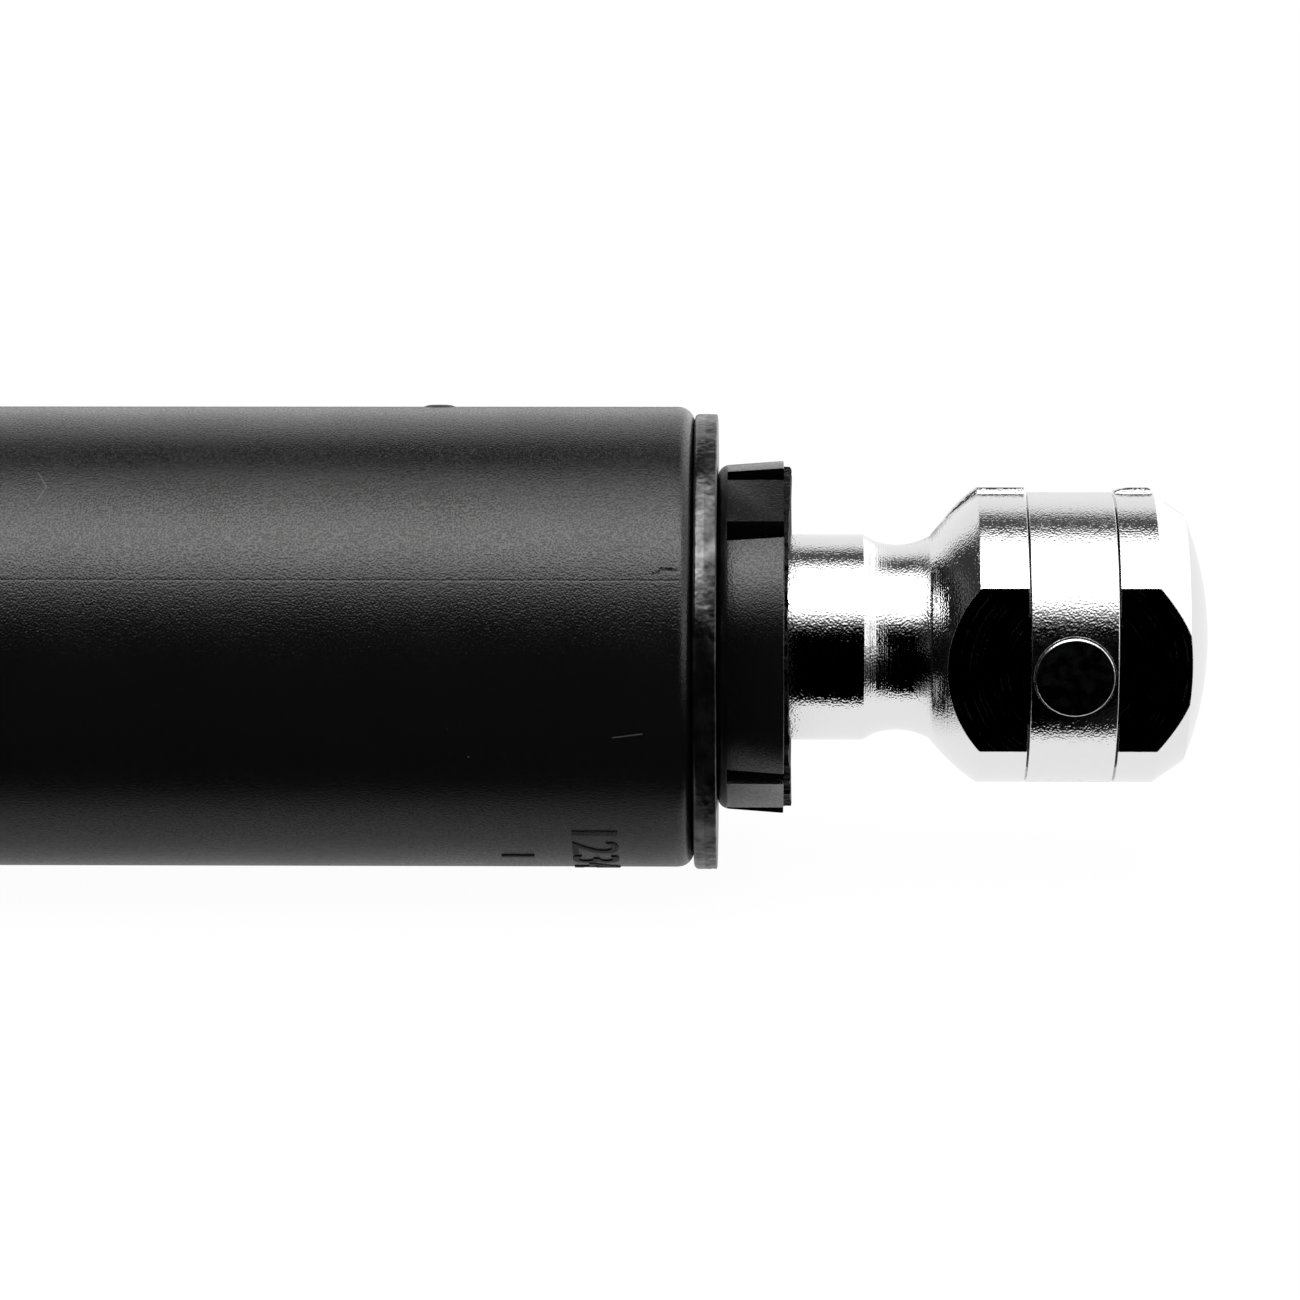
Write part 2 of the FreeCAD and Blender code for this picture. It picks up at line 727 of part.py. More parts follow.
def base_plug():
    """Plug of the closed end, with the threaded stud for the ball socket."""
    return turned_body("base_plug", [
        ("-plug_end", "0"),
        ("-stud_tip", "0"),
        ("-stud_tip", "thread_radius - stud_chamfer"),
        ("-(stud_tip + stud_chamfer)", "thread_radius"),
        ("-wall_face", "thread_radius"),
        ("-wall_face", "boss_radius"),
        ("-plug_start", "boss_radius"),
        ("-plug_start", "packing_radius"),
        ("-(plug_middle - o_ring_half)", "packing_radius"),
        ("-(plug_middle - o_ring_half)", "o_ring_floor"),
        ("-(plug_middle + o_ring_half)", "o_ring_floor"),
        ("-(plug_middle + o_ring_half)", "packing_radius"),
        ("-plug_end", "packing_radius"),
    ])


def plug_o_ring():
    """Rubber ring that seals the plug in the tube."""
    ring = doc.addObject("Part::Torus", "plug_o_ring")
    ring.Label = "plug_o_ring"
    ring.setExpression("Radius1", formula("o_ring_centre"))
    ring.setExpression("Radius2", formula("o_ring_section / 2"))
    ring.Placement = FreeCAD.Placement(Vector(), FreeCAD.Rotation(Vector(0, 1, 0), 90))
    ring.setExpression("Placement.Base.x", formula("-plug_middle"))
    return ring


def rod_guide():
    """Moulded bush that the rod slides in, grooved round its outside."""
    return turned_body("rod_guide", [
        ("-guide_end", "guide_bore"),
        ("-guide_end", "packing_radius"),
        ("-(guide_middle + guide_groove_width / 2)", "packing_radius"),
        ("-(guide_middle + guide_groove_width / 2)", "guide_waist"),
        ("-(guide_middle - guide_groove_width / 2)", "guide_waist"),
        ("-(guide_middle - guide_groove_width / 2)", "packing_radius"),
        ("-guide_start", "packing_radius"),
        ("-guide_start", "guide_bore"),
    ])


def rod_seal():
    """Rubber lip seal, hollowed on the side of the gas."""
    return turned_body("rod_seal", [
        ("-guide_start", "guide_bore"),
        ("-guide_start", "packing_radius"),
        ("-seal_start", "packing_radius"),
        ("-seal_start", "seal_middle + seal_groove / 2"),
        ("-(seal_start + seal_groove)", "seal_middle"),
        ("-seal_start", "seal_middle - seal_groove / 2"),
        ("-seal_start", "guide_bore"),
    ])


def outer_tube():
    """Moulded cover tube of the cylinder end, open towards the rod."""
    return turned_body("outer_tube", [
        ("-tube_face", "shank_hole"),
        ("-tube_face", "outer_tube_radius - tube_corner", "tube_corner", "right"),
        ("-(tube_face + tube_corner)", "outer_tube_radius"),
        ("-outer_tube_end", "outer_tube_radius"),
        ("-outer_tube_end", "outer_tube_bore + tube_lead"),
        ("-(outer_tube_end - tube_lead)", "outer_tube_bore"),
        ("-wall_face", "outer_tube_bore"),
        ("-wall_face", "shank_hole"),
    ])


def inner_tube():
    """Moulded cover tube of the rod end, which slides inside the outer one."""
    return turned_body("inner_tube", [
        ("-rod_wall", "shank_hole"),
        ("-rod_wall", "inner_tube_radius - tube_corner", "tube_corner", "left"),
        ("-(rod_wall - tube_corner)", "inner_tube_radius"),
        ("-(inner_tube_end + tube_lead)", "inner_tube_radius"),
        ("-inner_tube_end", "inner_tube_radius - tube_lead"),
        ("-inner_tube_end", "inner_tube_bore"),
        ("-rod_shoulder", "inner_tube_bore"),
        ("-rod_shoulder", "shank_hole"),
    ])


def piston_rod():
    """Ground rod: riveted over the piston stack, threaded at its far end."""
    return turned_body("piston_rod", [
        ("-rivet_end", "0"),
        ("-rod_end", "0"),
        ("-rod_end", "thread_radius - stud_chamfer"),
        ("-(rod_end - stud_chamfer)", "thread_radius"),
        ("-rod_shoulder", "thread_radius"),
        ("-rod_shoulder", "rod_radius"),
        ("-support_end", "rod_radius"),
        ("-support_end", "spigot_radius"),
        ("-disc_start", "spigot_radius"),
        ("-disc_start", "rivet_radius"),
        ("-(rivet_end + rivet_chamfer)", "rivet_radius"),
        ("-rivet_end", "rivet_radius - rivet_chamfer"),
    ])


def piston():
    """Piston with a groove for its ring and two oil passages."""
    body = turned_body("piston", [
        ("-piston_end", "stack_bore"),
        ("-piston_end", "piston_radius"),
        ("-(piston_middle + piston_groove_half)", "piston_radius"),
        ("-(piston_middle + piston_groove_half)", "piston_groove_radius"),
        ("-(piston_middle - piston_groove_half)", "piston_groove_radius"),
        ("-(piston_middle - piston_groove_half)", "piston_radius"),
        ("-piston_start", "piston_radius"),
        ("-piston_start", "stack_bore"),
    ])
    before = solid_volume(body)
    sketch = new_sketch(body, "oil_passage_outline", "YZ_Plane", offset="-piston_start")
    draw_circle(sketch, "passage_place", "oil_passage_dia / 2")
    passage = body.newObject("PartDesign::Pocket", "oil_passage")
    passage.Profile = sketch
    passage.Type = "Length"
    passage.setExpression("Length", formula("piston_length"))
    must_shrink(body, before, "oil_passage")
    repeat_round(body, "oil_passages", passage, "oil_passage_count")
    return body


def piston_ring():
    """Split ring that seals the piston in the tube and stays put as it turns."""
    body = turned_body("piston_ring", ring_outline(
        "piston_middle - piston_ring_width / 2", "piston_middle + piston_ring_width / 2",
        "piston_ring_bore", "piston_ring_radius"))
    cut_in(body, "piston_ring_slit_cut", box_outline(
        "0", "-piston_ring_slit / 2", "pressure_radius", "piston_ring_slit / 2"),
        "-(piston_middle - piston_ring_width / 2)", "piston_ring_width")
    return body


def plain_ring(label, near, far, bore, radius):
    return turned_body(label, ring_outline(near, far, bore, radius))


def two_arcs(start, start_run, end, end_run):
    """A smooth pair of arcs between two places with set directions."""
    gap = end - start
    bend = 2 * (1 - start_run.dot(end_run))
    along = 2 * gap.dot(start_run + end_run)
    reach = (math.sqrt(along ** 2 + 4 * bend * gap.dot(gap)) - along) / (2 * bend)
    first_corner = start + start_run * reach
    last_corner = end - end_run * reach
    join = (first_corner + last_corner) / 2
    return [arc_by_corner(start, first_corner, join), arc_by_corner(join, last_corner, end)]


def arc_by_corner(start, corner, end):
    """The arc that leaves towards a corner and arrives from it."""
    middle = (start + end) / 2
    half_angle = (corner - start).getAngle(end - start)
    sagitta = (end - start).Length / 2 * math.tan(half_angle / 2)
    crown = middle + (corner - middle).normalize() * sagitta
    return Part.Arc(start, crown, end).toShape()


def coil_spring():
    """Helper spring between the two end walls, wound in half-turn steps."""
    wire_radius = size("wire_dia / 2")
    coil_radius = size("spring_inside + wire_dia / 2")
    seat = wire_radius + size("spring_seat_gap")
    first = -size("wall_face") - seat
    last = -size("rod_shoulder") + seat
    end_steps = int(round(2 * size("spring_end_turns")))
    steps = int(round(2 * size("spring_turns"))) + 2 * end_steps
    end_rise = size("wire_dia + spring_end_gap") / 2
    open_rise = (first - last - 2 * end_steps * end_rise) / (steps - 2 * end_steps)
    rises = [end_rise if step < end_steps or step >= steps - end_steps else open_rise
             for step in range(steps)]

    places = []
    runs = []
    reached = first
    for step in range(steps + 1):
        angle = math.pi * step
        before = rises[max(step - 1, 0)]
        after = rises[min(step, steps - 1)]
        places.append(Vector(reached, coil_radius * math.cos(angle), 0))
        runs.append(Vector(-(before + after) / 2 / math.pi, 0,
                           coil_radius * math.cos(angle)).normalize())
        reached -= after if step < steps else 0
    arcs = []
    for step in range(steps):
        arcs += two_arcs(places[step], runs[step], places[step + 1], runs[step + 1])
    route = Part.Wire(arcs)
    section = Part.Wire(Part.makeCircle(wire_radius, places[0], runs[0]))
    coil = route.makePipeShell([section], True, False)
    if coil.Volume < 0:
        coil.reverse()
    check_coil(route, coil, wire_radius, arcs)

    spring = doc.addObject("Part::Feature", "coil_spring")
    spring.Label = "coil_spring"
    spring.Shape = coil
    spring.Placement = FreeCAD.Placement()
    return spring


def check_coil(route, coil, wire_radius, arcs):
    """Compares the coil's volume with its wire's, and prints its least gap."""
    expected = math.pi * wire_radius ** 2 * route.Length
    if abs(coil.Volume / expected - 1) > 0.01:
        raise RuntimeError(f"coil volume {coil.Volume:.0f}, wire {expected:.0f}")
    points_per_arc = 6
    points = [arc.valueAt(arc.FirstParameter + (arc.LastParameter - arc.FirstParameter)
                          * share / points_per_arc)
              for arc in arcs for share in range(points_per_arc)]
    per_turn = 4 * points_per_arc
    least = min((points[near] - points[far]).Length
                for near in range(len(points))
                for far in range(near + per_turn // 2, min(near + 2 * per_turn, len(points))))
    print(f"coil: {len(arcs)} arcs, least gap to itself {least - 2 * wire_radius:.2f} mm")


# The assembly

pieces = [
    pressure_tube(),
    base_plug(),
    plug_o_ring(),
    rod_guide(),
    rod_seal(),
    plain_ring("seal_washer", "seal_washer_start", "seal_start",
               "rod_radius + seal_washer_gap", "packing_radius"),
    outer_tube(),
    coil_spring(),
    piston_ring(),
    piston_rod(),
    plain_ring("support_washer", "piston_end", "support_end", "stack_bore", "support_radius"),
    piston(),
    plain_ring("valve_disc", "disc_start", "piston_start", "stack_bore", "disc_radius"),
    inner_tube(),
]
for piece_name, make in END_PIECES.items():
    pieces.append(make("cylinder_" + piece_name))
    rod_piece = make("rod_" + piece_name)
    rod_piece.Placement = FreeCAD.Placement(Vector(), FreeCAD.Rotation(Vector(0, 1, 0), 180))
    rod_piece.setExpression("Placement.Base.x", formula("-extended_length"))
    pieces.append(rod_piece)
doc.recompute()

failed = [item.Name for item in doc.Objects
          if "Invalid" in item.State or "Error" in item.State]
if failed:
    raise RuntimeError("failed: " + ", ".join(failed))
for piece in pieces:
    if piece.Shape.isNull() or not piece.Shape.isValid() or not piece.Shape.Solids:
        raise RuntimeError(piece.Label + " is not a valid solid")
for piece in pieces:
    piece.Shape.exportStep(f"parts/{piece.Label}.step")
print(len(pieces), "pieces written, balls", round(size("extended_length"), 3), "mm apart")
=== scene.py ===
import math

import bmesh
import bpy
from mathutils import Matrix, Quaternion, Vector, noise


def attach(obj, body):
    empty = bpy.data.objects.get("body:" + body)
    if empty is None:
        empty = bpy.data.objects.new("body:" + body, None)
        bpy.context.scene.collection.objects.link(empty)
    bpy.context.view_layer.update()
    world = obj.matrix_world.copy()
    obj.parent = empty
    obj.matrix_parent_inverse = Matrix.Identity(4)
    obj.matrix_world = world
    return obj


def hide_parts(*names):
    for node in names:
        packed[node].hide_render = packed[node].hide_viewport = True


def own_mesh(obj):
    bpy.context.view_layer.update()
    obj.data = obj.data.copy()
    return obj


# A spring-assisted tailgate strut, fully out. The origin is the centre of the ball pocket at
# the cylinder end, the strut runs along -X and +Z is up. Meshes are built in millimetres,
# with places along the strut given as X at the cylinder end.
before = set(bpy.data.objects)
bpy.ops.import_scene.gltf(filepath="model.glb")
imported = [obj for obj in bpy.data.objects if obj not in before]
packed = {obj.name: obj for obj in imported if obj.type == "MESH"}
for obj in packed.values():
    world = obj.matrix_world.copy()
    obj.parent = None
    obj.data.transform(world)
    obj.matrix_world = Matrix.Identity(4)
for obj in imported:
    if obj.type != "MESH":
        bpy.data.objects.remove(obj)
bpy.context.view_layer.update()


# Pressure tube: the gas spring's seamless steel cylinder, rolled in over its plug and its
# rod guide, then painted satin black. The cover tubes and the helper spring hide it.


def add_node(tree, kind, inputs=None, **settings):
    """Adds a shader node; each input takes a value or another node's output."""
    node = tree.nodes.new("ShaderNode" + kind)
    for name, value in settings.items():
        setattr(node, name, value)
    for name, value in (inputs or {}).items():
        connect(tree, value, node.inputs[name])
    return node


def connect(tree, value, socket):
    if isinstance(value, bpy.types.NodeSocket):
        tree.links.new(value, socket)
    else:
        socket.default_value = value


def calculate(tree, operation, first, second=0.0):
    """One step of arithmetic on values or outputs."""
    node = add_node(tree, "Math", operation=operation)
    connect(tree, first, node.inputs[0])
    connect(tree, second, node.inputs[1])
    return node.outputs[0]


def part_of(tree, place, axis):
    """One coordinate of a place."""
    return add_node(tree, "SeparateXYZ", {"Vector": place}).outputs[axis]


def between(tree, value, from_low, from_high, to_low=0.0, to_high=1.0, kind="SMOOTHSTEP"):
    """Carries a value from one range to another, held at both ends."""
    node = add_node(tree, "MapRange", {
        "Value": value, "From Min": from_low, "From Max": from_high,
        "To Min": to_low, "To Max": to_high}, interpolation_type=kind)
    return node.outputs["Result"]


def new_effect(name, inputs, outputs):
    """An empty node group; an input without a value is a place."""
    group = bpy.data.node_groups.new(name, "ShaderNodeTree")
    for label, value in inputs.items():
        kind = "NodeSocketVector" if value is None else "NodeSocketFloat"
        socket = group.interface.new_socket(name=label, in_out="INPUT", socket_type=kind)
        if value is not None:
            socket.default_value = value
    for label in outputs:
        group.interface.new_socket(name=label, in_out="OUTPUT", socket_type="NodeSocketFloat")
    return group, group.nodes.new("NodeGroupInput").outputs, group.nodes.new("NodeGroupOutput").inputs


def place_effect(tree, group, inputs):
    """Puts a shared effect into a material with its own values."""
    node = tree.nodes.new("ShaderNodeGroup")
    node.node_tree = group
    for name, value in inputs.items():
        connect(tree, value, node.inputs[name])
    return node.outputs


def new_finish(name, tone, roughness, metallic=0.0):
    """A grey material; returns it with its tree, shader and place on the piece."""
    finish = bpy.data.materials.new(name)
    finish.use_nodes = True
    tree = finish.node_tree
    shader = tree.nodes["Principled BSDF"]
    shader.inputs["Base Color"].default_value = (tone, tone, tone, 1.0)
    shader.inputs["Roughness"].default_value = roughness
    shader.inputs["Metallic"].default_value = metallic
    return finish, tree, shader, add_node(tree, "TexCoord").outputs["Object"]


def add_relief(tree, shader, height, depth):
    """Relief of a depth in metres, on top of any that the shader already has."""
    relief = add_node(tree, "Bump", {"Height": height, "Distance": depth, "Strength": 1.0})
    normal = shader.inputs["Normal"]
    if normal.links:
        tree.links.new(normal.links[0].from_socket, relief.inputs["Normal"])
    tree.links.new(relief.outputs["Normal"], normal)


def vary_roughness(tree, shader, patches, low, high):
    """Lets the roughness wander between two levels from patch to patch."""
    tree.links.new(between(tree, patches, 0.3, 0.7, low, high), shader.inputs["Roughness"])


def grey_between(tree, value, dark, light):
    """A grey that runs from dark to light as the value goes from 0 to 1."""
    ramp = add_node(tree, "ValToRGB", {"Fac": value})
    for stop, tone in zip(ramp.color_ramp.elements, (dark, light)):
        stop.color = (tone, tone, tone, 1.0)
    return ramp.outputs["Color"]


def grain_effect():
    """Fine uneven grain, with coarser patches that vary a finish."""
    group, given, made = new_effect(
        "surface_grain", {"Place": None, "Grain Size": 0.0002, "Patch Size": 0.004}, ("Relief", "Patches"))
    for label, size, detail in (("Relief", "Grain Size", 0.5), ("Patches", "Patch Size", 3.0)):
        pattern = add_node(group, "TexNoise", {
            "Vector": given["Place"], "Scale": calculate(group, "DIVIDE", 1.0, given[size]),
            "Detail": detail})
        group.links.new(pattern.outputs["Fac"], made[label])
    return group


def turning_effect():
    """Lines that a turning tool leaves: they run round the strut and change only along it."""
    group, given, made = new_effect(
        "turning_lines", {"Place": None, "Line Width": 0.0001, "Waver": 0.00002}, ("Lines",))
    wander = add_node(group, "TexNoise", {"Vector": given["Place"], "Scale": 250.0, "Detail": 2.0})
    along = calculate(
        group, "ADD", part_of(group, given["Place"], "X"),
        calculate(group, "MULTIPLY", wander.outputs["Fac"], given["Waver"]))
    cuts = add_node(group, "TexNoise", {
        "W": calculate(group, "DIVIDE", along, given["Line Width"]), "Scale": 1.0, "Detail": 2.0},
        noise_dimensions="1D")
    group.links.new(cuts.outputs["Fac"], made["Lines"])
    return group


grain = grain_effect()
turning = turning_effect()


def painted_finish():
    finish, tree, shader, place = new_finish("satin_black_paint", 0.012, 0.35)
    skin = place_effect(tree, grain, {"Place": place, "Grain Size": 0.0009, "Patch Size": 0.02})
    vary_roughness(tree, shader, skin["Patches"], 0.28, 0.42)
    add_relief(tree, shader, skin["Relief"], 0.000012)
    return finish


def dress(node, finish):
    """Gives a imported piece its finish."""
    piece = packed[node]
    piece.data.materials.clear()
    piece.data.materials.append(finish)


dress("pressure_tube", painted_finish())


# Base plug, seal washer, support washer and valve disc: small bright steel parts, turned or
# blanked. The plug carries the stud that the ball socket screws on to.


def turned_finish(name, tone, roughness, line_width, line_depth):
    """Bare steel with the lines of the turning tool."""
    finish, tree, shader, place = new_finish(name, tone, roughness, metallic=1.0)
    skin = place_effect(tree, grain, {"Place": place, "Grain Size": 0.0003, "Patch Size": 0.003})
    cut = place_effect(tree, turning, {"Place": place, "Line Width": line_width, "Waver": 0.00002})
    vary_roughness(tree, shader, skin["Patches"], roughness * 0.8, roughness * 1.25)
    add_relief(tree, shader, skin["Relief"], 0.000002)
    add_relief(tree, shader, cut["Lines"], line_depth)
    return finish


turned_steel = turned_finish("turned_steel", 0.55, 0.3, 0.00012, 0.000004)
for node in ("base_plug", "seal_washer", "support_washer", "valve_disc"):
    dress(node, turned_steel)


# O-ring and rod seal: moulded nitrile rubber, dull black with a fine flow texture. One sits in
# the base plug's groove, the other behind the rod guide, with its lip on the rod.


def rubber_finish():
    finish, tree, shader, place = new_finish("seal_rubber", 0.018, 0.6)
    skin = place_effect(tree, grain, {"Place": place, "Grain Size": 0.00015, "Patch Size": 0.002})
    vary_roughness(tree, shader, skin["Patches"], 0.5, 0.7)
    add_relief(tree, shader, skin["Relief"], 0.000008)
    return finish


seal_rubber = rubber_finish()
for node in ("plug_o_ring", "rod_seal"):
    dress(node, seal_rubber)


# Rod guide and piston ring: moulded bearing plastic, dark grey and off-white, whose colour
# is slightly uneven where the melt flowed.


def bearing_finish(name, tone):
    finish, tree, shader, place = new_finish(name, tone, 0.45)
    skin = place_effect(tree, grain, {"Place": place, "Grain Size": 0.0004, "Patch Size": 0.003})
    tree.links.new(
        grey_between(tree, skin["Patches"], tone * 0.75, tone * 1.25), shader.inputs["Base Color"])
    add_relief(tree, shader, skin["Relief"], 0.000006)
    return finish


dress("rod_guide", bearing_finish("guide_plastic", 0.08))
dress("piston_ring", bearing_finish("ring_plastic", 0.45))


# Piston: pressed and sintered from iron powder, dull grey with open pores. It is riveted on
# to the rod's end, and the gas passes through its two holes.


def sintered_finish():
    finish, tree, shader, place = new_finish("sintered_iron", 0.22, 0.5, metallic=1.0)
    skin = place_effect(tree, grain, {"Place": place, "Grain Size": 0.00012, "Patch Size": 0.001})
    pores = between(tree, skin["Relief"], 0.36, 0.46)
    tree.links.new(grey_between(tree, pores, 0.05, 0.26), shader.inputs["Base Color"])
    add_relief(tree, shader, pores, 0.00001)
    return finish


dress("piston", sintered_finish())


# Piston rod: ground and blackened steel rod, riveted over at the piston and threaded into
# the far ball socket.
ground_rod = turned_finish("ground_rod", 0.09, 0.16, 0.00004, 0.0000015)
dress("piston_rod", ground_rod)


# Snap rings: open rings of hardened black steel, sprung into the shanks' grooves. They carry
# the end washers, inside the collars.


def black_steel_finish(name, tone, roughness):
    finish, tree, shader, place = new_finish(name, tone, roughness, metallic=1.0)
    skin = place_effect(tree, grain, {"Place": place, "Grain Size": 0.00025, "Patch Size": 0.002})
    tree.links.new(
        grey_between(tree, skin["Patches"], tone * 0.6, tone * 1.5), shader.inputs["Base Color"])
    vary_roughness(tree, shader, skin["Patches"], roughness * 0.8, roughness * 1.2)
    add_relief(tree, shader, skin["Relief"], 0.000006)
    return finish


blackened_steel = black_steel_finish("blackened_steel", 0.07, 0.35)
for node in ("cylinder_snap_ring", "rod_snap_ring"):
    dress(node, blackened_steel)


# Helper spring: 2 mm oiled spring wire, closed at both ends, wound round the pressure tube
# inside the cover tubes. It shortens with the strut.
STRUT_LENGTH = 500.0
SPRING_SEAT = -24.67
SEAT_GAP = 0.02
WIRE_RADIUS = 1.0
COIL_RADIUS = 10.4
COIL_FIRST = SPRING_SEAT - SEAT_GAP - WIRE_RADIUS
COIL_LAST = -STRUT_LENGTH - COIL_FIRST
CLOSED_TURNS = 1.0
OPEN_TURNS = 46.0
CLOSED_PITCH = 2.5
STEPS_PER_TURN = 36
STEPS_ROUND_WIRE = 12


def new_piece(name, mesh, finish, body, slot, stands_for, sharp=32.0):
    """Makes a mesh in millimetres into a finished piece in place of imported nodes."""
    mesh.transform(Matrix.Scale(0.001, 4))
    mesh.shade_smooth()
    mesh.set_sharp_from_angle(angle=math.radians(sharp))
    mesh.materials.clear()
    mesh.materials.append(finish)
    piece = bpy.data.objects.new(name, mesh)
    bpy.context.scene.collection.objects.link(piece)
    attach(piece, body)
    if stands_for:
        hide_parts(stands_for)
    return piece


def skin_of(name, rows, closed):
    """A mesh through rows of points; each row is a closed loop, or a single point."""
    work = bmesh.new()
    made = [[work.verts.new(point) for point in row] for row in rows]
    pairs = list(zip(made, made[1:] + made[:1])) if closed else list(zip(made, made[1:]))
    for row, following in pairs:
        count = max(len(row), len(following))
        for step in range(count if count > 1 else 0):
            after = (step + 1) % count
            if len(row) == 1:
                corners = (row[0], following[after], following[step])
            elif len(following) == 1:
                corners = (row[step], row[after], following[0])
            else:
                corners = (row[step], row[after], following[after], following[step])
            work.faces.new(corners)
    if not closed:
        for row in (made[0], made[-1]):
            if len(row) > 1:
                work.faces.new(row)
    bmesh.ops.recalc_face_normals(work, faces=work.faces)
    mesh = bpy.data.meshes.new(name)
    work.to_mesh(mesh)
    work.free()
    return mesh


def even_angles(steps):
    return [2 * math.pi * step / steps for step in range(steps)]


def coil_mesh():
    turns = OPEN_TURNS + 2 * CLOSED_TURNS
    open_pitch = (COIL_FIRST - COIL_LAST - 2 * CLOSED_TURNS * CLOSED_PITCH) / OPEN_TURNS
    rows = []
    for step in range(int(turns * STEPS_PER_TURN) + 1):
        turn = step / STEPS_PER_TURN
        closed_part = min(turn, CLOSED_TURNS) + max(turn - CLOSED_TURNS - OPEN_TURNS, 0.0)
        place = COIL_FIRST - closed_part * CLOSED_PITCH - (turn - closed_part) * open_pitch
        angle = 2 * math.pi * turn
        outwards = Vector((0, math.cos(angle), math.sin(angle)))
        forwards = Vector((-open_pitch / 2 / math.pi, -math.sin(angle) * COIL_RADIUS,
                           math.cos(angle) * COIL_RADIUS)).normalized()
        sideways = forwards.cross(outwards)
        centre = outwards * COIL_RADIUS + Vector((place, 0, 0))
        rows.append([
            centre + WIRE_RADIUS * (outwards * math.cos(part) + sideways * math.sin(part))
            for part in even_angles(STEPS_ROUND_WIRE)])
    return skin_of("helper_spring", rows, closed=False)


spring_wire = black_steel_finish("oiled_spring_wire", 0.12, 0.3)
spring = new_piece("helper_spring", coil_mesh(), spring_wire, "cylinder", "spring_steel", "coil_spring")
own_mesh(spring)


# Cover tubes: black glass-filled nylon, moulded in two halves with a fine spark-eroded skin.
# The inner tube is held at the rod end and slides in the outer one, which the photo shows.
TUBE_RADIUS = 14.0
TUBE_BORE = 12.8
INNER_RADIUS = 12.6
INNER_BORE = 11.6
SHANK_HOLE = 6.55
END_WALL = 2.0
TUBE_FACE = SPRING_SEAT + END_WALL
TUBE_END = -280.63
INNER_END = -237.33
INNER_FACE = -STRUT_LENGTH - TUBE_FACE
TUBE_CORNER = 1.0
TUBE_LEAD = 0.4
PARTING_ANGLE = 29.5
PARTING_DEPTH = 0.009
PARTING_WIDTH = 0.05
PARTING_STEPS = (-0.2, -0.12, -0.07, -0.03, 0.0, 0.03, 0.07, 0.12, 0.2)
PARTING_CLEAR = 0.3
SAME_RADIUS = 0.01


def softened(corners, steps=6):
    """An outline of (along, radius) corners, rounded where a third number gives a radius."""
    outline = []
    for number, corner in enumerate(corners):
        here = Vector(corner[:2])
        if len(corner) == 2:
            outline.append(here)
            continue
        back = (Vector(corners[number - 1][:2]) - here).normalized()
        onward = (Vector(corners[(number + 1) % len(corners)][:2]) - here).normalized()
        half = back.angle(onward) / 2
        centre = here + (back + onward).normalized() * corner[2] / math.sin(half)
        reach = corner[2] / math.tan(half)
        first = here + back * reach - centre
        last = here + onward * reach - centre
        outline += [centre + first.slerp(last, step / steps) * corner[2] for step in range(steps + 1)]
    return outline


def round_about(outline, angles, lift=None):
    """Rows of points for an outline turned round the strut; angle 0 faces -Y and grows upwards."""
    rows = []
    for along, radius in outline:
        if radius < 1e-4:
            rows.append([Vector((along, 0, 0))])
            continue
        row = []
        for angle in angles:
            out = radius + (lift(along, radius, angle) if lift else 0.0)
            row.append(Vector((along, -out * math.cos(angle), out * math.sin(angle))))
        rows.append(row)
    return rows


def between_rows(outline, longest):
    """Adds places on the long straight runs of a closed outline."""
    filled = []
    for number, place in enumerate(outline):
        following = outline[(number + 1) % len(outline)]
        pieces = max(1, math.ceil((following - place).length / longest))
        filled += [place.lerp(following, step / pieces) for step in range(pieces)]
    return filled


def parting_offset(angle):
    """Distance round the tube to the nearer parting line, in millimetres."""
    turn = (angle - math.radians(PARTING_ANGLE)) % math.pi
    return min(turn, math.pi - turn) * TUBE_RADIUS


def parting_line(along, radius, angle):
    """The thin uneven line where the two mould halves met."""
    if radius < INNER_RADIUS - SAME_RADIUS or abs(radius - TUBE_BORE) < SAME_RADIUS:
        return 0.0
    depth = PARTING_DEPTH * (1 + 0.9 * noise.noise(Vector((along * 0.9, radius, 0))))
    return -depth * math.exp(-(parting_offset(angle) / PARTING_WIDTH) ** 2)


def tube_angles():
    """Even steps, with close ones across both parting lines."""
    close = [offset / TUBE_RADIUS for offset in PARTING_STEPS]
    angles = set(even_angles(288))
    for line in (math.radians(PARTING_ANGLE), math.radians(PARTING_ANGLE) + math.pi):
        angles = {angle for angle in angles if abs(angle - line) > PARTING_CLEAR / TUBE_RADIUS}
        angles |= {line + offset for offset in close}
    return sorted(angles)


def vector_step(tree, operation, first, second):
    node = add_node(tree, "VectorMath", operation=operation)
    connect(tree, first, node.inputs[0])
    connect(tree, second, node.inputs[1])
    return node


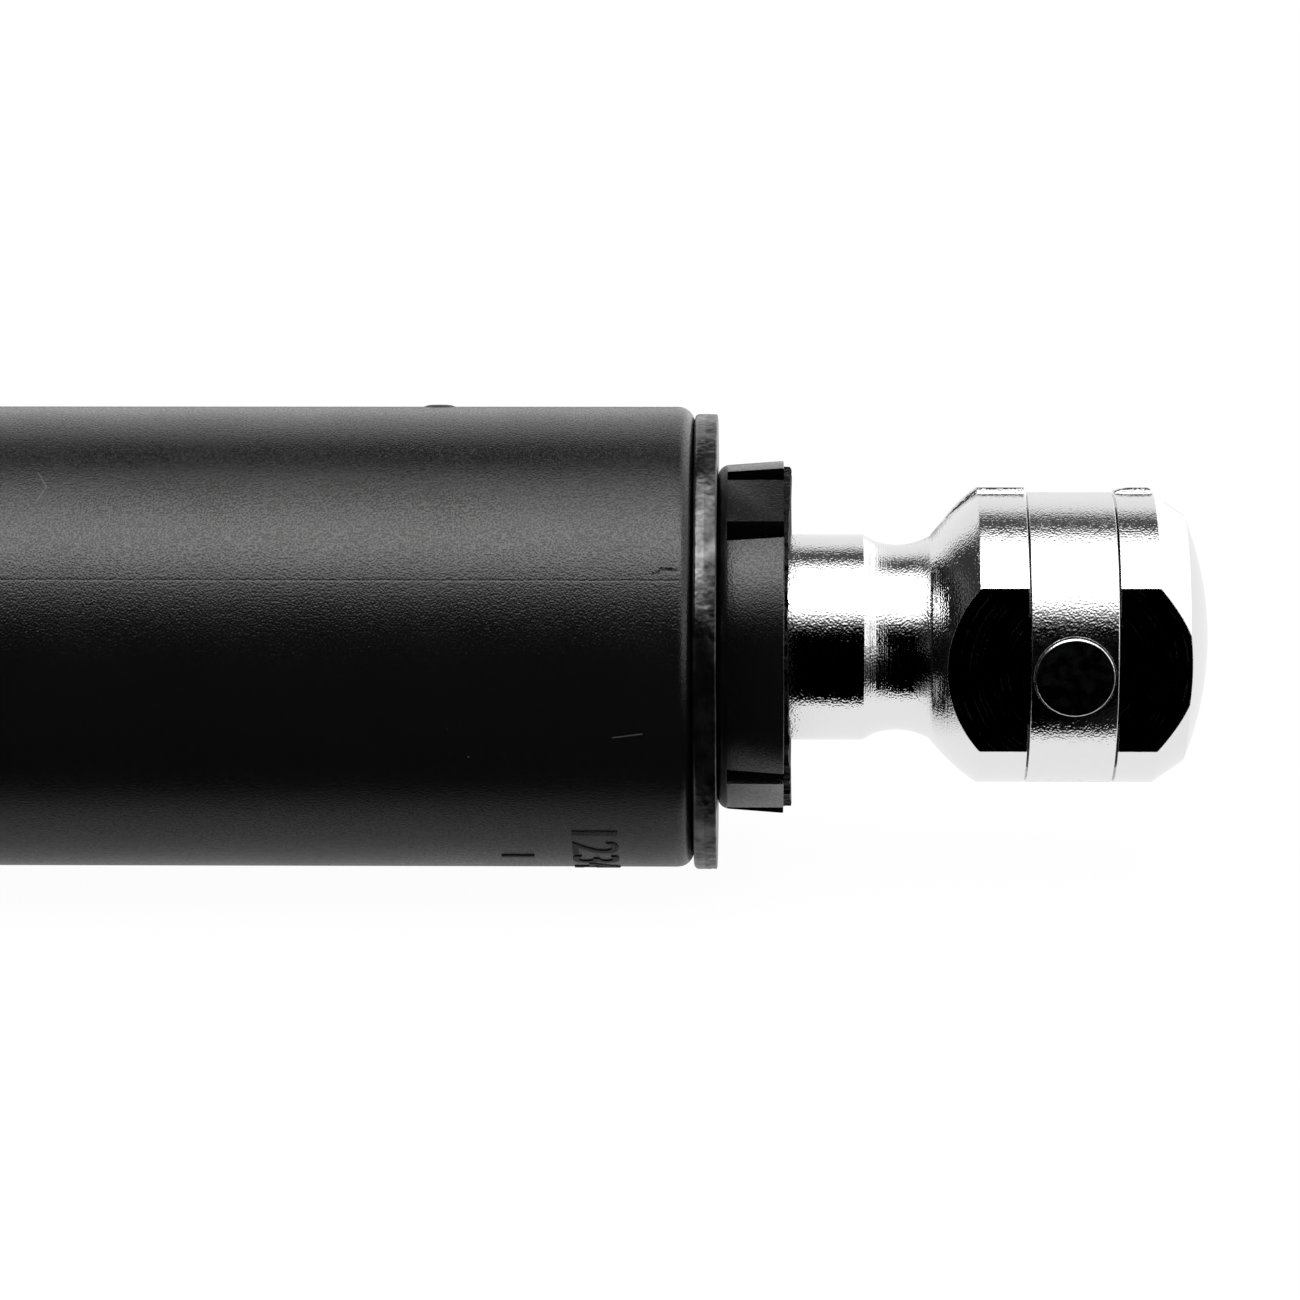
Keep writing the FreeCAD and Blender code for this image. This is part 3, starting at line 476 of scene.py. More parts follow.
def scratch_effect():
    """A straight scratch or nick from one place to another, as a mask that is 1 on its line."""
    group, given, made = new_effect(
        "scratch_line", {"Place": None, "From": None, "To": None, "Width": 0.0001}, ("Mask",))
    run = vector_step(group, "SUBTRACT", given["To"], given["From"]).outputs[0]
    reach = vector_step(group, "SUBTRACT", given["Place"], given["From"]).outputs[0]
    share = add_node(group, "Math", operation="DIVIDE", use_clamp=True)
    connect(group, vector_step(group, "DOT_PRODUCT", reach, run).outputs["Value"], share.inputs[0])
    connect(group, vector_step(group, "DOT_PRODUCT", run, run).outputs["Value"], share.inputs[1])
    nearest = add_node(group, "VectorMath", {0: run}, operation="SCALE")
    connect(group, share.outputs[0], nearest.inputs["Scale"])
    away = vector_step(group, "DISTANCE", reach, nearest.outputs[0]).outputs["Value"]
    mask = calculate(group, "SUBTRACT", 1.0, between(group, away, 0.0, given["Width"]))
    group.links.new(mask, made["Mask"])
    return group


def speck_effect():
    """Sparse specks of dust and moulding bloom, each with a size and strength of its own."""
    group, given, made = new_effect(
        "dust_specks", {"Place": None, "Spacing": 0.002, "Speck Size": 0.00006}, ("Mask",))
    cells = add_node(group, "TexVoronoi", {
        "Vector": given["Place"], "Scale": calculate(group, "DIVIDE", 1.0, given["Spacing"])})
    own = add_node(group, "SeparateColor", {"Color": cells.outputs["Color"]})
    size = calculate(group, "MULTIPLY", calculate(
        group, "DIVIDE", given["Speck Size"], given["Spacing"]), own.outputs["Red"])
    dot = calculate(group, "LESS_THAN", cells.outputs["Distance"], size)
    group.links.new(calculate(group, "MULTIPLY", dot, own.outputs["Green"]), made["Mask"])
    return group


scratch = scratch_effect()
specks = speck_effect()


def on_tube(along, angle):
    """A place on the outer tube's skin, in metres, from X and the angle above -Y."""
    turn = math.radians(angle)
    return (along * 0.001, -TUBE_RADIUS * 0.001 * math.cos(turn), TUBE_RADIUS * 0.001 * math.sin(turn))


# Scratches and nicks: from X and angle, to X and angle, and width in millimetres
TUBE_SCRATCHES = (
    ((-61.4, 59.5), (-60.8, 55.0), 0.09),
    ((-60.8, 55.0), (-61.3, 50.5), 0.08),
    ((-43.0, 32.5), (-39.8, 40.5), 0.07),
    ((-27.3, -9.0), (-25.6, -8.0), 0.08),
)
TUBE_NICKS = (
    ((-24.9, 30.9), (-24.4, 32.0), 0.18),
    ((-24.4, 32.0), (-23.7, 31.8), 0.24),
)
NICK_DEPTH = 0.00006
NYLON_SHEEN = 0.4
NYLON_GLINTS = 0.45
DUST_PALENESS = 14


def line_mask(tree, place, lines, mask=0.0):
    """The larger of a mask and a set of scratch lines."""
    for start, end, width in lines:
        line = place_effect(tree, scratch, {
            "Place": place, "From": on_tube(*start), "To": on_tube(*end), "Width": width * 0.001})
        mask = calculate(tree, "MAXIMUM", mask, line["Mask"])
    return mask


def nylon_finish(name, tone, roughness, grain_depth, marks=(), nicks=()):
    """Black moulded nylon: spark-eroded grain, faint flow patches, dust, any scratches and nicks."""
    finish, tree, shader, place = new_finish(name, tone, roughness)
    skin = place_effect(tree, grain, {"Place": place, "Grain Size": 0.00011, "Patch Size": 0.006})
    dust = place_effect(tree, specks, {"Place": place, "Spacing": 0.0021, "Speck Size": 0.00009})["Mask"]
    dust = line_mask(tree, place, marks, dust)
    tree.links.new(
        grey_between(tree, between(tree, dust, 0.0, 1.0), tone, tone * DUST_PALENESS),
        shader.inputs["Base Color"])
    tree.links.new(
        between(tree, skin["Patches"], 0.35, 0.65, roughness - 0.03, roughness + 0.03),
        shader.inputs["Roughness"])
    # the spark-eroded skin glints in spots
    shader.inputs["Specular IOR Level"].default_value = NYLON_SHEEN
    shader.inputs["Coat Roughness"].default_value = roughness
    tree.links.new(
        between(tree, skin["Relief"], 0.4, 0.6, 0.0, NYLON_GLINTS), shader.inputs["Coat Weight"])
    add_relief(tree, shader, skin["Relief"], grain_depth)
    if nicks:
        add_relief(tree, shader, line_mask(tree, place, nicks), -NICK_DEPTH)
    return finish


def tube_piece(name, outline, holders, marks=(), nicks=()):
    """A turned tube with the mould's parting lines on its skin."""
    rows = round_about(between_rows(softened(outline), 1.0), tube_angles(), parting_line)
    finish = nylon_finish(name + "_nylon", 0.004, 0.21, 0.00003, marks, nicks)
    return new_piece(name, skin_of(name, rows, closed=True), finish, *holders)


tube_piece("inner_cover", [
    (INNER_FACE, SHANK_HOLE, 0.2),
    (INNER_FACE, INNER_RADIUS, TUBE_CORNER),
    (INNER_END - TUBE_LEAD, INNER_RADIUS, 0.2),
    (INNER_END, INNER_RADIUS - TUBE_LEAD, 0.1),
    (INNER_END, INNER_BORE),
    (INNER_FACE + END_WALL, INNER_BORE),
    (INNER_FACE + END_WALL, SHANK_HOLE),
], ("rod", "black_nylon", "inner_tube"))
tube_piece("outer_cover", [
    (TUBE_FACE, SHANK_HOLE, 0.2),
    (TUBE_FACE, TUBE_RADIUS, TUBE_CORNER),
    (TUBE_END, TUBE_RADIUS, 0.25),
    (TUBE_END, TUBE_BORE + TUBE_LEAD),
    (TUBE_END + TUBE_LEAD, TUBE_BORE),
    (TUBE_FACE - END_WALL, TUBE_BORE),
    (TUBE_FACE - END_WALL, SHANK_HOLE),
], ("cylinder", "black_nylon", "outer_tube"), TUBE_SCRATCHES, TUBE_NICKS)


# Moulded marks on the outer tube: plain raised numbers that run round its lower side, where
# the mould has its exchangeable inserts, and the button where the mould was filled.
NUMBERS = "12345"
NUMBER_HEIGHT = 2.9
NUMBER_START = (-29.9, -36.5)
CAVITY_NUMBER = "1"
CAVITY_HEIGHT = 2.1
CAVITY_START = (-34.2, -51.0)
NUMBER_RAISED = 0.07
LETTER_SCALE = 1.38
GATE_PLACE = (-38.2, 103.0)
GATE_RADIUS = 1.05
GATE_RAISED = 0.12
GATE_SUNK = 0.05
GATE_ROOT = 0.3
GATE_RINGS = 8


def number_mesh(numbers, height, start):
    """Lettering of plain numbers, laid round the tube with their tops towards the end."""
    letters = bpy.data.curves.new("plain_numbers", "FONT")
    letters.body = numbers
    letters.size = height * LETTER_SCALE
    letters.extrude = NUMBER_RAISED
    letters.resolution_u = 6
    holder = bpy.data.objects.new("plain_numbers", letters)
    bpy.context.scene.collection.objects.link(holder)
    graph = bpy.context.evaluated_depsgraph_get()
    mesh = bpy.data.meshes.new_from_object(holder.evaluated_get(graph))
    bpy.data.objects.remove(holder)
    for corner in mesh.vertices:
        across, up, out = corner.co
        angle = math.radians(start[1]) - across / TUBE_RADIUS
        radius = TUBE_RADIUS + out
        corner.co = (start[0] + up, -radius * math.cos(angle), radius * math.sin(angle))
    return mesh


def gate_mesh():
    """The low round button where the mould was filled, on the tube's upper side."""
    middle = math.radians(GATE_PLACE[1])
    rows = []
    for ring in range(GATE_RINGS + 1):
        share = ring / GATE_RINGS
        out = TUBE_RADIUS + GATE_RAISED * (1 - share ** 4) - GATE_SUNK * share ** 4
        row = []
        for turn in even_angles(32 if ring else 1):
            angle = middle + GATE_RADIUS * share * math.sin(turn) / TUBE_RADIUS
            row.append(Vector((GATE_PLACE[0] + GATE_RADIUS * share * math.cos(turn),
                               -out * math.cos(angle), out * math.sin(angle))))
        rows.append(row)
    root = TUBE_RADIUS - GATE_ROOT
    rows.append([Vector((GATE_PLACE[0], -root * math.cos(middle), root * math.sin(middle)))])
    return skin_of("gate_mark", rows, closed=False)


number_nylon = nylon_finish("number_nylon", 0.002, 0.55, 0.00001)
for piece_name, mark in (
        ("moulded_numbers", number_mesh(NUMBERS, NUMBER_HEIGHT, NUMBER_START)),
        ("cavity_number", number_mesh(CAVITY_NUMBER, CAVITY_HEIGHT, CAVITY_START)),
        ("gate_mark", gate_mesh())):
    new_piece(piece_name, mark, number_nylon, "cylinder", "black_nylon", None)


# End washers: 1.4 mm blackened steel, stamped. Each edge has a smooth sheared band towards
# the tube and a rough torn band towards the collar.
WASHER_NEAR = -21.27
WASHER_FAR = TUBE_FACE
WASHER_RADIUS = 13.85
WASHER_DROP = 0.3
TORN_FROM = -22.0
TORN_BLUR = 0.05
TORN_DEPTH = 0.045
RIM_DEPTH = 0.35
RIM_STEP = 0.09

ENDS = {
    "cylinder": Matrix.Identity(4),
    "rod": Matrix.Translation((-STRUT_LENGTH, 0, 0)) @ Matrix.Rotation(math.pi, 4, "Y"),
}


def at_both_ends(name, mesh, finish, slot, node, bodies=("cylinder", "rod"), sharp=32.0):
    """Puts a piece of the cylinder end there, and turned round at the rod end."""
    for (end, place), body in zip(ENDS.items(), bodies):
        own = mesh.copy()
        own.transform(place)
        new_piece(f"{end}_{name}", own, finish, body, slot, f"{end}_{node}", sharp)


def distance_in(tree, place):
    """The place along the strut, in metres, mirrored so that both ends read alike."""
    half = STRUT_LENGTH / 2 * 0.001
    from_middle = calculate(tree, "ABSOLUTE", calculate(tree, "ADD", part_of(tree, place, "X"), half))
    return calculate(tree, "SUBTRACT", from_middle, half)


def torn_edge(along, radius, angle):
    """Roughness of the torn band, with a slight burr at its edge."""
    if radius < WASHER_RADIUS - RIM_DEPTH or along < TORN_FROM:
        return 0.0
    spot = Vector((along * 3.0, math.cos(angle) * 28, math.sin(angle) * 28))
    return TORN_DEPTH * (noise.noise(spot) - 0.3)


def washer_mesh():
    outline = softened([
        (WASHER_FAR, SHANK_HOLE, 0.15),
        (WASHER_NEAR, SHANK_HOLE, 0.1),
        (WASHER_NEAR, WASHER_RADIUS, 0.12),
        (WASHER_FAR, WASHER_RADIUS, 0.3),
    ])
    edge = [place for place in outline if place.y > WASHER_RADIUS - RIM_DEPTH]
    bore = [place for place in outline if place.y <= WASHER_RADIUS - RIM_DEPTH]
    rim = []
    for place, following in zip(edge, edge[1:]):
        steps = max(1, math.ceil((following - place).length / RIM_STEP))
        rim += [place.lerp(following, step / steps) for step in range(steps)]
    rim.append(edge[-1])
    mesh = skin_of("end_washer", round_about(bore + rim, even_angles(540), torn_edge), closed=True)
    for corner in mesh.vertices:
        # the rim hangs low, and the hole stays on the axis
        if corner.co.yz.length > SHANK_HOLE + 1.0:
            corner.co.z -= WASHER_DROP
    return mesh


def washer_finish():
    finish, tree, shader, place = new_finish("stamped_black_steel", 0.06, 0.3, metallic=0.96)
    skin = place_effect(tree, grain, {"Place": place, "Grain Size": 0.0003, "Patch Size": 0.0016})
    torn = between(tree, distance_in(tree, place),
                   (TORN_FROM - TORN_BLUR) * 0.001, (TORN_FROM + TORN_BLUR) * 0.001)
    tone = calculate(tree, "MULTIPLY", between(tree, torn, 0.0, 1.0, 0.1, 0.07),
                     between(tree, skin["Patches"], 0.35, 0.65, 0.5, 1.5))
    tree.links.new(grey_between(tree, tone, 0.0, 1.0), shader.inputs["Base Color"])
    tree.links.new(between(tree, torn, 0.0, 1.0, 0.2, 0.28), shader.inputs["Roughness"])
    add_relief(tree, shader, skin["Relief"], 0.00003)
    return finish


at_both_ends("stamped_washer", washer_mesh(), washer_finish(), "washer_steel", "end_washer")


# Lock collars: moulded black nylon cups that trap the snap rings. Three narrow fingers with
# flat faces stand between slots in each rim.
SHANK_RADIUS = 6.25
FIT = 0.02
OVERCUT = 1.0
COLLAR_FACE = -17.27
CUP_FLOOR = -18.97
CUP_RADIUS = 9.56
COLLAR_RADIUS = 10.42
COLLAR_FLARE = 0.3
COLLAR_BORE = 7.77
COLLAR_CORNER = 0.75
RING_POCKET = -20.05
FINGER_ANGLES = (68.5, 188.5, 307.2)
FINGER_WIDTH = 4.2
FINGER_TOP = 10.27
SLOT_WIDTH = 1.4
SLOT_FLOOR = 8.66
SLOT_END = -20.67


def block_mesh(name, outline, low, high):
    """A prism along X, from an outline of (Y, Z) corners."""
    rows = [[Vector((along, across, up)) for across, up in outline] for along in (low, high)]
    return skin_of(name, rows, closed=False)


def carve(mesh, tools, operation="DIFFERENCE"):
    """Cuts tool meshes out of a mesh, or joins them to it."""
    scene = bpy.context.scene.collection
    body = bpy.data.objects.new("work", mesh)
    scene.objects.link(body)
    holders = []
    for tool in tools:
        holder = bpy.data.objects.new("tool", tool)
        scene.objects.link(holder)
        holders.append(holder)
        change = body.modifiers.new("change", "BOOLEAN")
        change.operation = operation
        change.solver = "EXACT"
        change.object = holder
    made = bpy.data.meshes.new_from_object(body.evaluated_get(bpy.context.evaluated_depsgraph_get()))
    for item in [body] + holders:
        bpy.data.objects.remove(item)
    return made


def turned_mesh(name, outline, steps=256):
    return skin_of(name, round_about(outline, even_angles(steps)), closed=True)


def collar_mesh():
    cup = turned_mesh("lock_collar", softened([
        (WASHER_NEAR, COLLAR_BORE),
        (WASHER_NEAR, COLLAR_RADIUS, COLLAR_CORNER),
        (COLLAR_FACE, COLLAR_RADIUS + COLLAR_FLARE, 0.08),
        (COLLAR_FACE, CUP_RADIUS, 0.08),
        (CUP_FLOOR, CUP_RADIUS),
        (CUP_FLOOR, SHANK_RADIUS + FIT),
        (RING_POCKET, SHANK_RADIUS + FIT),
        (RING_POCKET, COLLAR_BORE),
    ]), 240)
    half = FINGER_WIDTH / 2
    reach = half + SLOT_WIDTH
    top = COLLAR_RADIUS + COLLAR_FLARE + SLOT_WIDTH
    notch = [(SLOT_FLOOR, -reach), (top, -reach), (top, reach), (SLOT_FLOOR, reach),
             (SLOT_FLOOR, half), (FINGER_TOP, half), (FINGER_TOP, -half), (SLOT_FLOOR, -half)]
    slots = []
    for angle in FINGER_ANGLES:
        turn = math.radians(angle)
        outline = [(-out * math.cos(turn) - side * math.sin(turn),
                    out * math.sin(turn) - side * math.cos(turn)) for out, side in notch]
        slots.append(block_mesh("collar_slot", outline, SLOT_END, COLLAR_FACE + OVERCUT))
    return carve(cup, slots)


collar_nylon = nylon_finish("collar_nylon", 0.004, 0.22, 0.00002)
at_both_ends("collar", collar_mesh(), collar_nylon, "black_nylon", "lock_collar")


# Lock rings: thin spring steel discs pushed on to the shanks, closing the collars. Their
# toothed rims are black and ragged.
LOCK_NEAR = -16.82
LOCK_RADIUS = 10.32
TOOTH_COUNT = 40
TOOTH_BAND = 0.2
TOOTH_DEPTH = 0.18
TOOTH_RAGS = 0.14
RING_WAVE = 0.09
RING_SAG = 0.26
SAG_ANGLE = 18.0


def ragged_rim(along, radius, angle):
    if radius < LOCK_RADIUS - TOOTH_BAND:
        return 0.0
    tooth = abs((angle * TOOTH_COUNT / 2 / math.pi) % 1.0 - 0.5) * 2
    spot = Vector((along * 2.0, math.cos(angle) * 40, math.sin(angle) * 40))
    return -TOOTH_DEPTH * min(tooth * 1.2, 1.0) + TOOTH_RAGS * noise.noise(spot)


def lock_ring_mesh():
    outline = softened([
        (COLLAR_FACE, SHANK_RADIUS + FIT),
        (COLLAR_FACE, LOCK_RADIUS),
        ((COLLAR_FACE + LOCK_NEAR) / 2, LOCK_RADIUS),
        (LOCK_NEAR, LOCK_RADIUS),
        (LOCK_NEAR, LOCK_RADIUS - 0.25),
        (LOCK_NEAR, SHANK_RADIUS + FIT),
    ])
    mesh = skin_of("lock_ring", round_about(outline, even_angles(720), ragged_rim), closed=True)
    facing = Vector((0, -math.cos(math.radians(SAG_ANGLE)), math.sin(math.radians(SAG_ANGLE))))
    for corner in mesh.vertices:
        # the near face is not quite flat: it lies closer to the collar in front
        front = max(0.0, Vector((0, *corner.co.yz)).normalized().dot(facing))
        share = (corner.co.x - COLLAR_FACE) / (LOCK_NEAR - COLLAR_FACE)
        corner.co.x += share * (RING_WAVE * noise.noise(corner.co * 1.7) - RING_SAG * front ** 2)
    return mesh


lock_steel = black_steel_finish("lock_ring_steel", 0.01, 0.55)
at_both_ends("toothed_ring", lock_ring_mesh(), lock_steel, "black_steel", "lock_ring", sharp=50.0)


# Ball sockets: turned from steel bar, milled flat on the front, bored for the ball and
# bright plated. The half of the head round the pocket's mouth stands slightly proud.
HEAD_RADIUS = 8.8
SHOULDER_RADIUS = 9.15
SHOULDER_OFFSET = 1.0
GROOVE_HALF = 2.72
GROOVE_RADIUS = 7.9
HEAD_START = 5.07
HEAD_END = 5.57
NOSE_EDGE = 6.95
NOSE_RADIUS = 7.5
NOSE_TIP = 8.45
CONE_END = 8.42
CONE_RADIUS = 6.15
CONE_BOW = 0.16
SHOULDER_FOOT = (-8.0, 6.54)
SHOULDER_BOW = 0.18
SHOULDER_LAND = 4.7
SHOULDER_NOSE = (5.9, 8.17)
SHOULDER_NOSE_BOW = 0.22
SHOULDER_STEPS = 240
DOME_STEPS = 24
SHOULDER_FALL = 0.03
SHOULDER_WEAR = ((0.0, 0.2), (0.35, 0.07), (0.9, 0.0))
NECK_END = 11.8
NECK_END_RADIUS = 5.87
NECK_DIP = 0.37
SHANK_START = 12.47
THREAD_RADIUS = 3.02
BORE_FLOOR = 13.57
DRILL_POINT = 11.76
SNAP_FLOOR = 5.6
FLAT_FACE = 7.2
BALL_RADIUS = 5.05
MOUTH = 6.0
MOUTH_CHAMFER = 0.5
PIN_HOLE = 2.385
PIN_ROOT = 5.7
WINDOW_HALF = 1.3
WINDOW_LOW = -0.65
WINDOW_HIGH = 2.55
MILL_STEP = 0.00016
EDGE_DULLNESS = 0.5
LINES_FROM = -0.0125
LINES_TO = -0.0072
GROOVE_SHADE_DEPTH = 0.08
MASK_SLACK = 0.01


def arc_between(start, end, sagitta, steps):
    """Places on an arc; a positive sagitta bows it away from the axis."""
    start, end = Vector(start), Vector(end)
    chord = (end - start).length
    radius = (chord ** 2 / 4 + sagitta ** 2) / (2 * abs(sagitta))
    out = Vector((start.y - end.y, end.x - start.x)).normalized()
    if out.y < 0 or (abs(out.y) < 1e-6 and out.x < 0):
        out.negate()
    centre = (start + end) / 2 - out * math.copysign(radius - abs(sagitta), sagitta)
    first, last = start - centre, end - centre
    return [centre + first.slerp(last, step / steps) * radius for step in range(steps + 1)]


def turned_upright(name, outline, steps=192):
    """A body turned round the Y axis, from (Y, radius) places."""
    mesh = turned_mesh(name, outline, steps)
    mesh.transform(Matrix.Rotation(math.pi / 2, 4, "Z"))
    return mesh


def plain_outline(corners):
    return [Vector(corner) for corner in corners]


def plain_side():
    """The head's side from the foot of its cone to the nose, with its edges rounded off."""
    cone = arc_between((-CONE_END, CONE_RADIUS), (-HEAD_END, HEAD_RADIUS), CONE_BOW, 16)
    corners = [tuple(cone[-2]), (-HEAD_END, HEAD_RADIUS, 0.25), (HEAD_START, HEAD_RADIUS, 0.25),
               (NOSE_EDGE, NOSE_RADIUS)]
    return cone[:-2] + softened(corners, steps=8)


def shoulder_side():
    """The shoulder's outline: it grows out of the cone and runs out on the nose."""
    cone = arc_between(SHOULDER_FOOT, (-HEAD_END, SHOULDER_RADIUS), SHOULDER_BOW, 16)
    nose = arc_between((SHOULDER_LAND, SHOULDER_RADIUS), SHOULDER_NOSE, SHOULDER_NOSE_BOW, 12)
    worn = [Vector((GROOVE_HALF + away, SHOULDER_RADIUS - depth)) for away, depth in SHOULDER_WEAR]
    core = CONE_RADIUS / 2
    return ([Vector((SHOULDER_FOOT[0], core))] + cone + [Vector((-GROOVE_HALF, SHOULDER_RADIUS))]
            + worn + nose + [Vector((SHOULDER_NOSE[0], core))])


def socket_mesh():
    clear = SHOULDER_RADIUS + MOUTH_CHAMFER
    dome_radius = (NOSE_RADIUS ** 2 + (NOSE_TIP - NOSE_EDGE) ** 2) / 2 / (NOSE_TIP - NOSE_EDGE)
    dome = []
    for step in range(DOME_STEPS + 1):
        radius = NOSE_RADIUS * (1 - step / DOME_STEPS)
        dome.append(Vector((NOSE_TIP - dome_radius + math.sqrt(dome_radius ** 2 - radius ** 2), radius)))
    neck = arc_between((-NECK_END, NECK_END_RADIUS), (-CONE_END, CONE_RADIUS), -NECK_DIP, 24)
    body = turned_mesh("ball_socket", plain_outline([
        (-DRILL_POINT, 0.0), (-BORE_FLOOR, THREAD_RADIUS), (SPRING_SEAT, THREAD_RADIUS),
        (SPRING_SEAT, SHANK_RADIUS), (WASHER_NEAR - FIT, SHANK_RADIUS), (WASHER_NEAR - FIT, SNAP_FLOOR),
        (RING_POCKET, SNAP_FLOOR), (RING_POCKET, SHANK_RADIUS), (-SHANK_START, SHANK_RADIUS),
    ]) + neck[:-1] + plain_side() + dome[1:], 288)

    half_turn = math.acos(SHOULDER_OFFSET / SHOULDER_RADIUS)
    rise = SHOULDER_RADIUS - HEAD_RADIUS
    rows = []
    for step in range(SHOULDER_STEPS + 1):
        share = 2 * step / SHOULDER_STEPS - 1
        angle = math.pi + half_turn * share
        # the step's edge falls off in a narrow slope that faces up
        sink = rise * max(0.0, (abs(share) - 1) / SHOULDER_FALL + 1)
        rows.append([
            Vector((along, -(radius - sink) * math.cos(angle), (radius - sink) * math.sin(angle)))
            for along, radius in shoulder_side()])
    body = carve(body, [skin_of("socket_shoulder", rows, closed=False)], "UNION")

    groove = turned_mesh("clip_groove", plain_outline([
        (-GROOVE_HALF, GROOVE_RADIUS), (GROOVE_HALF, GROOVE_RADIUS),
        (GROOVE_HALF, clear), (-GROOVE_HALF, clear)]), 288)
    flat = block_mesh("front_flat", [
        (-clear, -clear), (-FLAT_FACE, -clear), (-FLAT_FACE, clear), (-clear, clear)],
        -CONE_END, NOSE_TIP + OVERCUT)
    mouth_face = block_mesh("mouth_face", [
        (MOUTH, -clear), (clear, -clear), (clear, clear), (MOUTH, clear)], -CONE_END, NOSE_TIP + OVERCUT)
    bowl = [Vector((-BALL_RADIUS * math.cos(turn), BALL_RADIUS * math.sin(turn)))
            for turn in (math.pi / 2 * step / DOME_STEPS for step in range(DOME_STEPS + 1))]
    pocket = turned_upright("ball_pocket", bowl + plain_outline([
        (MOUTH - MOUTH_CHAMFER, BALL_RADIUS), (MOUTH, BALL_RADIUS + MOUTH_CHAMFER),
        (clear, BALL_RADIUS + MOUTH_CHAMFER), (clear, 0.0)]))
    pin_hole = turned_upright("pin_hole", plain_outline([
        (-clear, 0.0), (-clear, PIN_HOLE), (-PIN_ROOT, PIN_HOLE), (-PIN_ROOT, 0.0)]), 96)
    windows = block_mesh("hook_windows", [
        (WINDOW_LOW, -clear), (WINDOW_HIGH, -clear), (WINDOW_HIGH, clear), (WINDOW_LOW, clear)],
        -WINDOW_HALF, WINDOW_HALF)
    return carve(body, [groove, flat, mouth_face, pocket, pin_hole, windows])


def front_flat(tree, place):
    """A mask of the milled flat on the head's front."""
    return calculate(tree, "LESS_THAN", part_of(tree, place, "Y"), (MASK_SLACK - FLAT_FACE) * 0.001)


def length_of(tree, first, second):
    """The length of a line from its two parts at right angles."""
    squares = [calculate(tree, "MULTIPLY", part, part) for part in (first, second)]
    return calculate(tree, "SQRT", calculate(tree, "ADD", *squares))


def milled_dullness(tree, place):
    """Faint broken arcs round the head's middle that the cutter leaves on the front flat."""
    away = length_of(tree, distance_in(tree, place), part_of(tree, place, "Z"))
    arcs = add_node(tree, "TexNoise", {
        "W": calculate(tree, "DIVIDE", away, MILL_STEP), "Scale": 1.0, "Detail": 3.0},
        noise_dimensions="1D")
    breaks = place_effect(tree, grain, {"Place": place, "Grain Size": 0.0003, "Patch Size": 0.0015})
    seen = calculate(
        tree, "MULTIPLY", front_flat(tree, place), between(tree, breaks["Patches"], 0.42, 0.6))
    return calculate(tree, "MULTIPLY", seen, between(tree, arcs.outputs["Fac"], 0.48, 0.75, 0.0, 0.2))


def groove_painted_shade(tree, place):
    """Painted shade down in the clip's groove: the plating is coloured dark where the gap beside the clip
    lies in shadow.
    """
    out = length_of(tree, part_of(tree, place, "Y"), part_of(tree, place, "Z"))
    deep = calculate(tree, "LESS_THAN", out, (HEAD_RADIUS - GROOVE_SHADE_DEPTH) * 0.001)
    inside = calculate(tree, "LESS_THAN", calculate(tree, "ABSOLUTE", distance_in(tree, place)),
                       (GROOVE_HALF + MASK_SLACK) * 0.001)
    return calculate(tree, "MULTIPLY", deep, inside)


def plated_finish(name, dullness, edge, on_socket=False):
    """Bright plating: fine orange peel and worn edges, with the tool's lines on the socket's neck."""
    finish, tree, shader, place = new_finish(name, 0.83, 0.07, metallic=1.0)
    soft_edge = add_node(tree, "Bevel", {"Radius": edge}, samples=6)
    tree.links.new(soft_edge.outputs["Normal"], shader.inputs["Normal"])
    peel = place_effect(tree, grain, {"Place": place, "Grain Size": 0.00013, "Patch Size": 0.0006})
    bumps = peel["Relief"]
    bend = vector_step(tree, "DOT_PRODUCT", soft_edge.outputs["Normal"],
                       add_node(tree, "NewGeometry").outputs["Normal"]).outputs["Value"]
    worn = calculate(tree, "MULTIPLY", between(tree, bend, 0.9, 0.99, EDGE_DULLNESS, 0.0),
                     between(tree, peel["Patches"], 0.4, 0.6))
    rough = calculate(
        tree, "ADD", worn, between(tree, peel["Patches"], 0.35, 0.65, dullness, dullness * 2))
    if on_socket:
        cut = place_effect(tree, turning, {"Place": place, "Line Width": 0.00009, "Waver": 0.00003})
        where = distance_in(tree, place)
        lined = calculate(
            tree, "MULTIPLY", between(tree, where, LINES_FROM - 0.0002, LINES_FROM + 0.0002),
            between(tree, where, LINES_TO - 0.0004, LINES_TO + 0.0004, 1.0, 0.0))
        lined = calculate(tree, "MULTIPLY", lined, calculate(
            tree, "SUBTRACT", 1.0, front_flat(tree, place)))
        dull = calculate(tree, "MULTIPLY", lined, between(tree, cut["Lines"], 0.45, 0.75, 0.0, 0.07))
        rough = calculate(tree, "ADD", rough, calculate(tree, "ADD", dull, milled_dullness(tree, place)))
        # painted shade: the socket's plating is coloured dark down in the clip's groove
        tree.links.new(
            grey_between(tree, groove_painted_shade(tree, place), 0.83, 0.03), shader.inputs["Base Color"])
        add_relief(tree, shader, calculate(tree, "MULTIPLY", cut["Lines"], lined), 0.000016)
        # milled flats are smoother than turned and pressed faces
        bumps = calculate(tree, "MULTIPLY", bumps, between(
            tree, front_flat(tree, place), 0.0, 1.0, 1.0, 0.5))
    tree.links.new(rough, shader.inputs["Roughness"])
    add_relief(tree, shader, bumps, 0.00002)
    return finish


socket_plating = plated_finish("bright_plating", 0.015, 0.00007, on_socket=True)
at_both_ends("plated_socket", socket_mesh(), socket_plating, "plated_steel", "ball_socket", sharp=28.0)


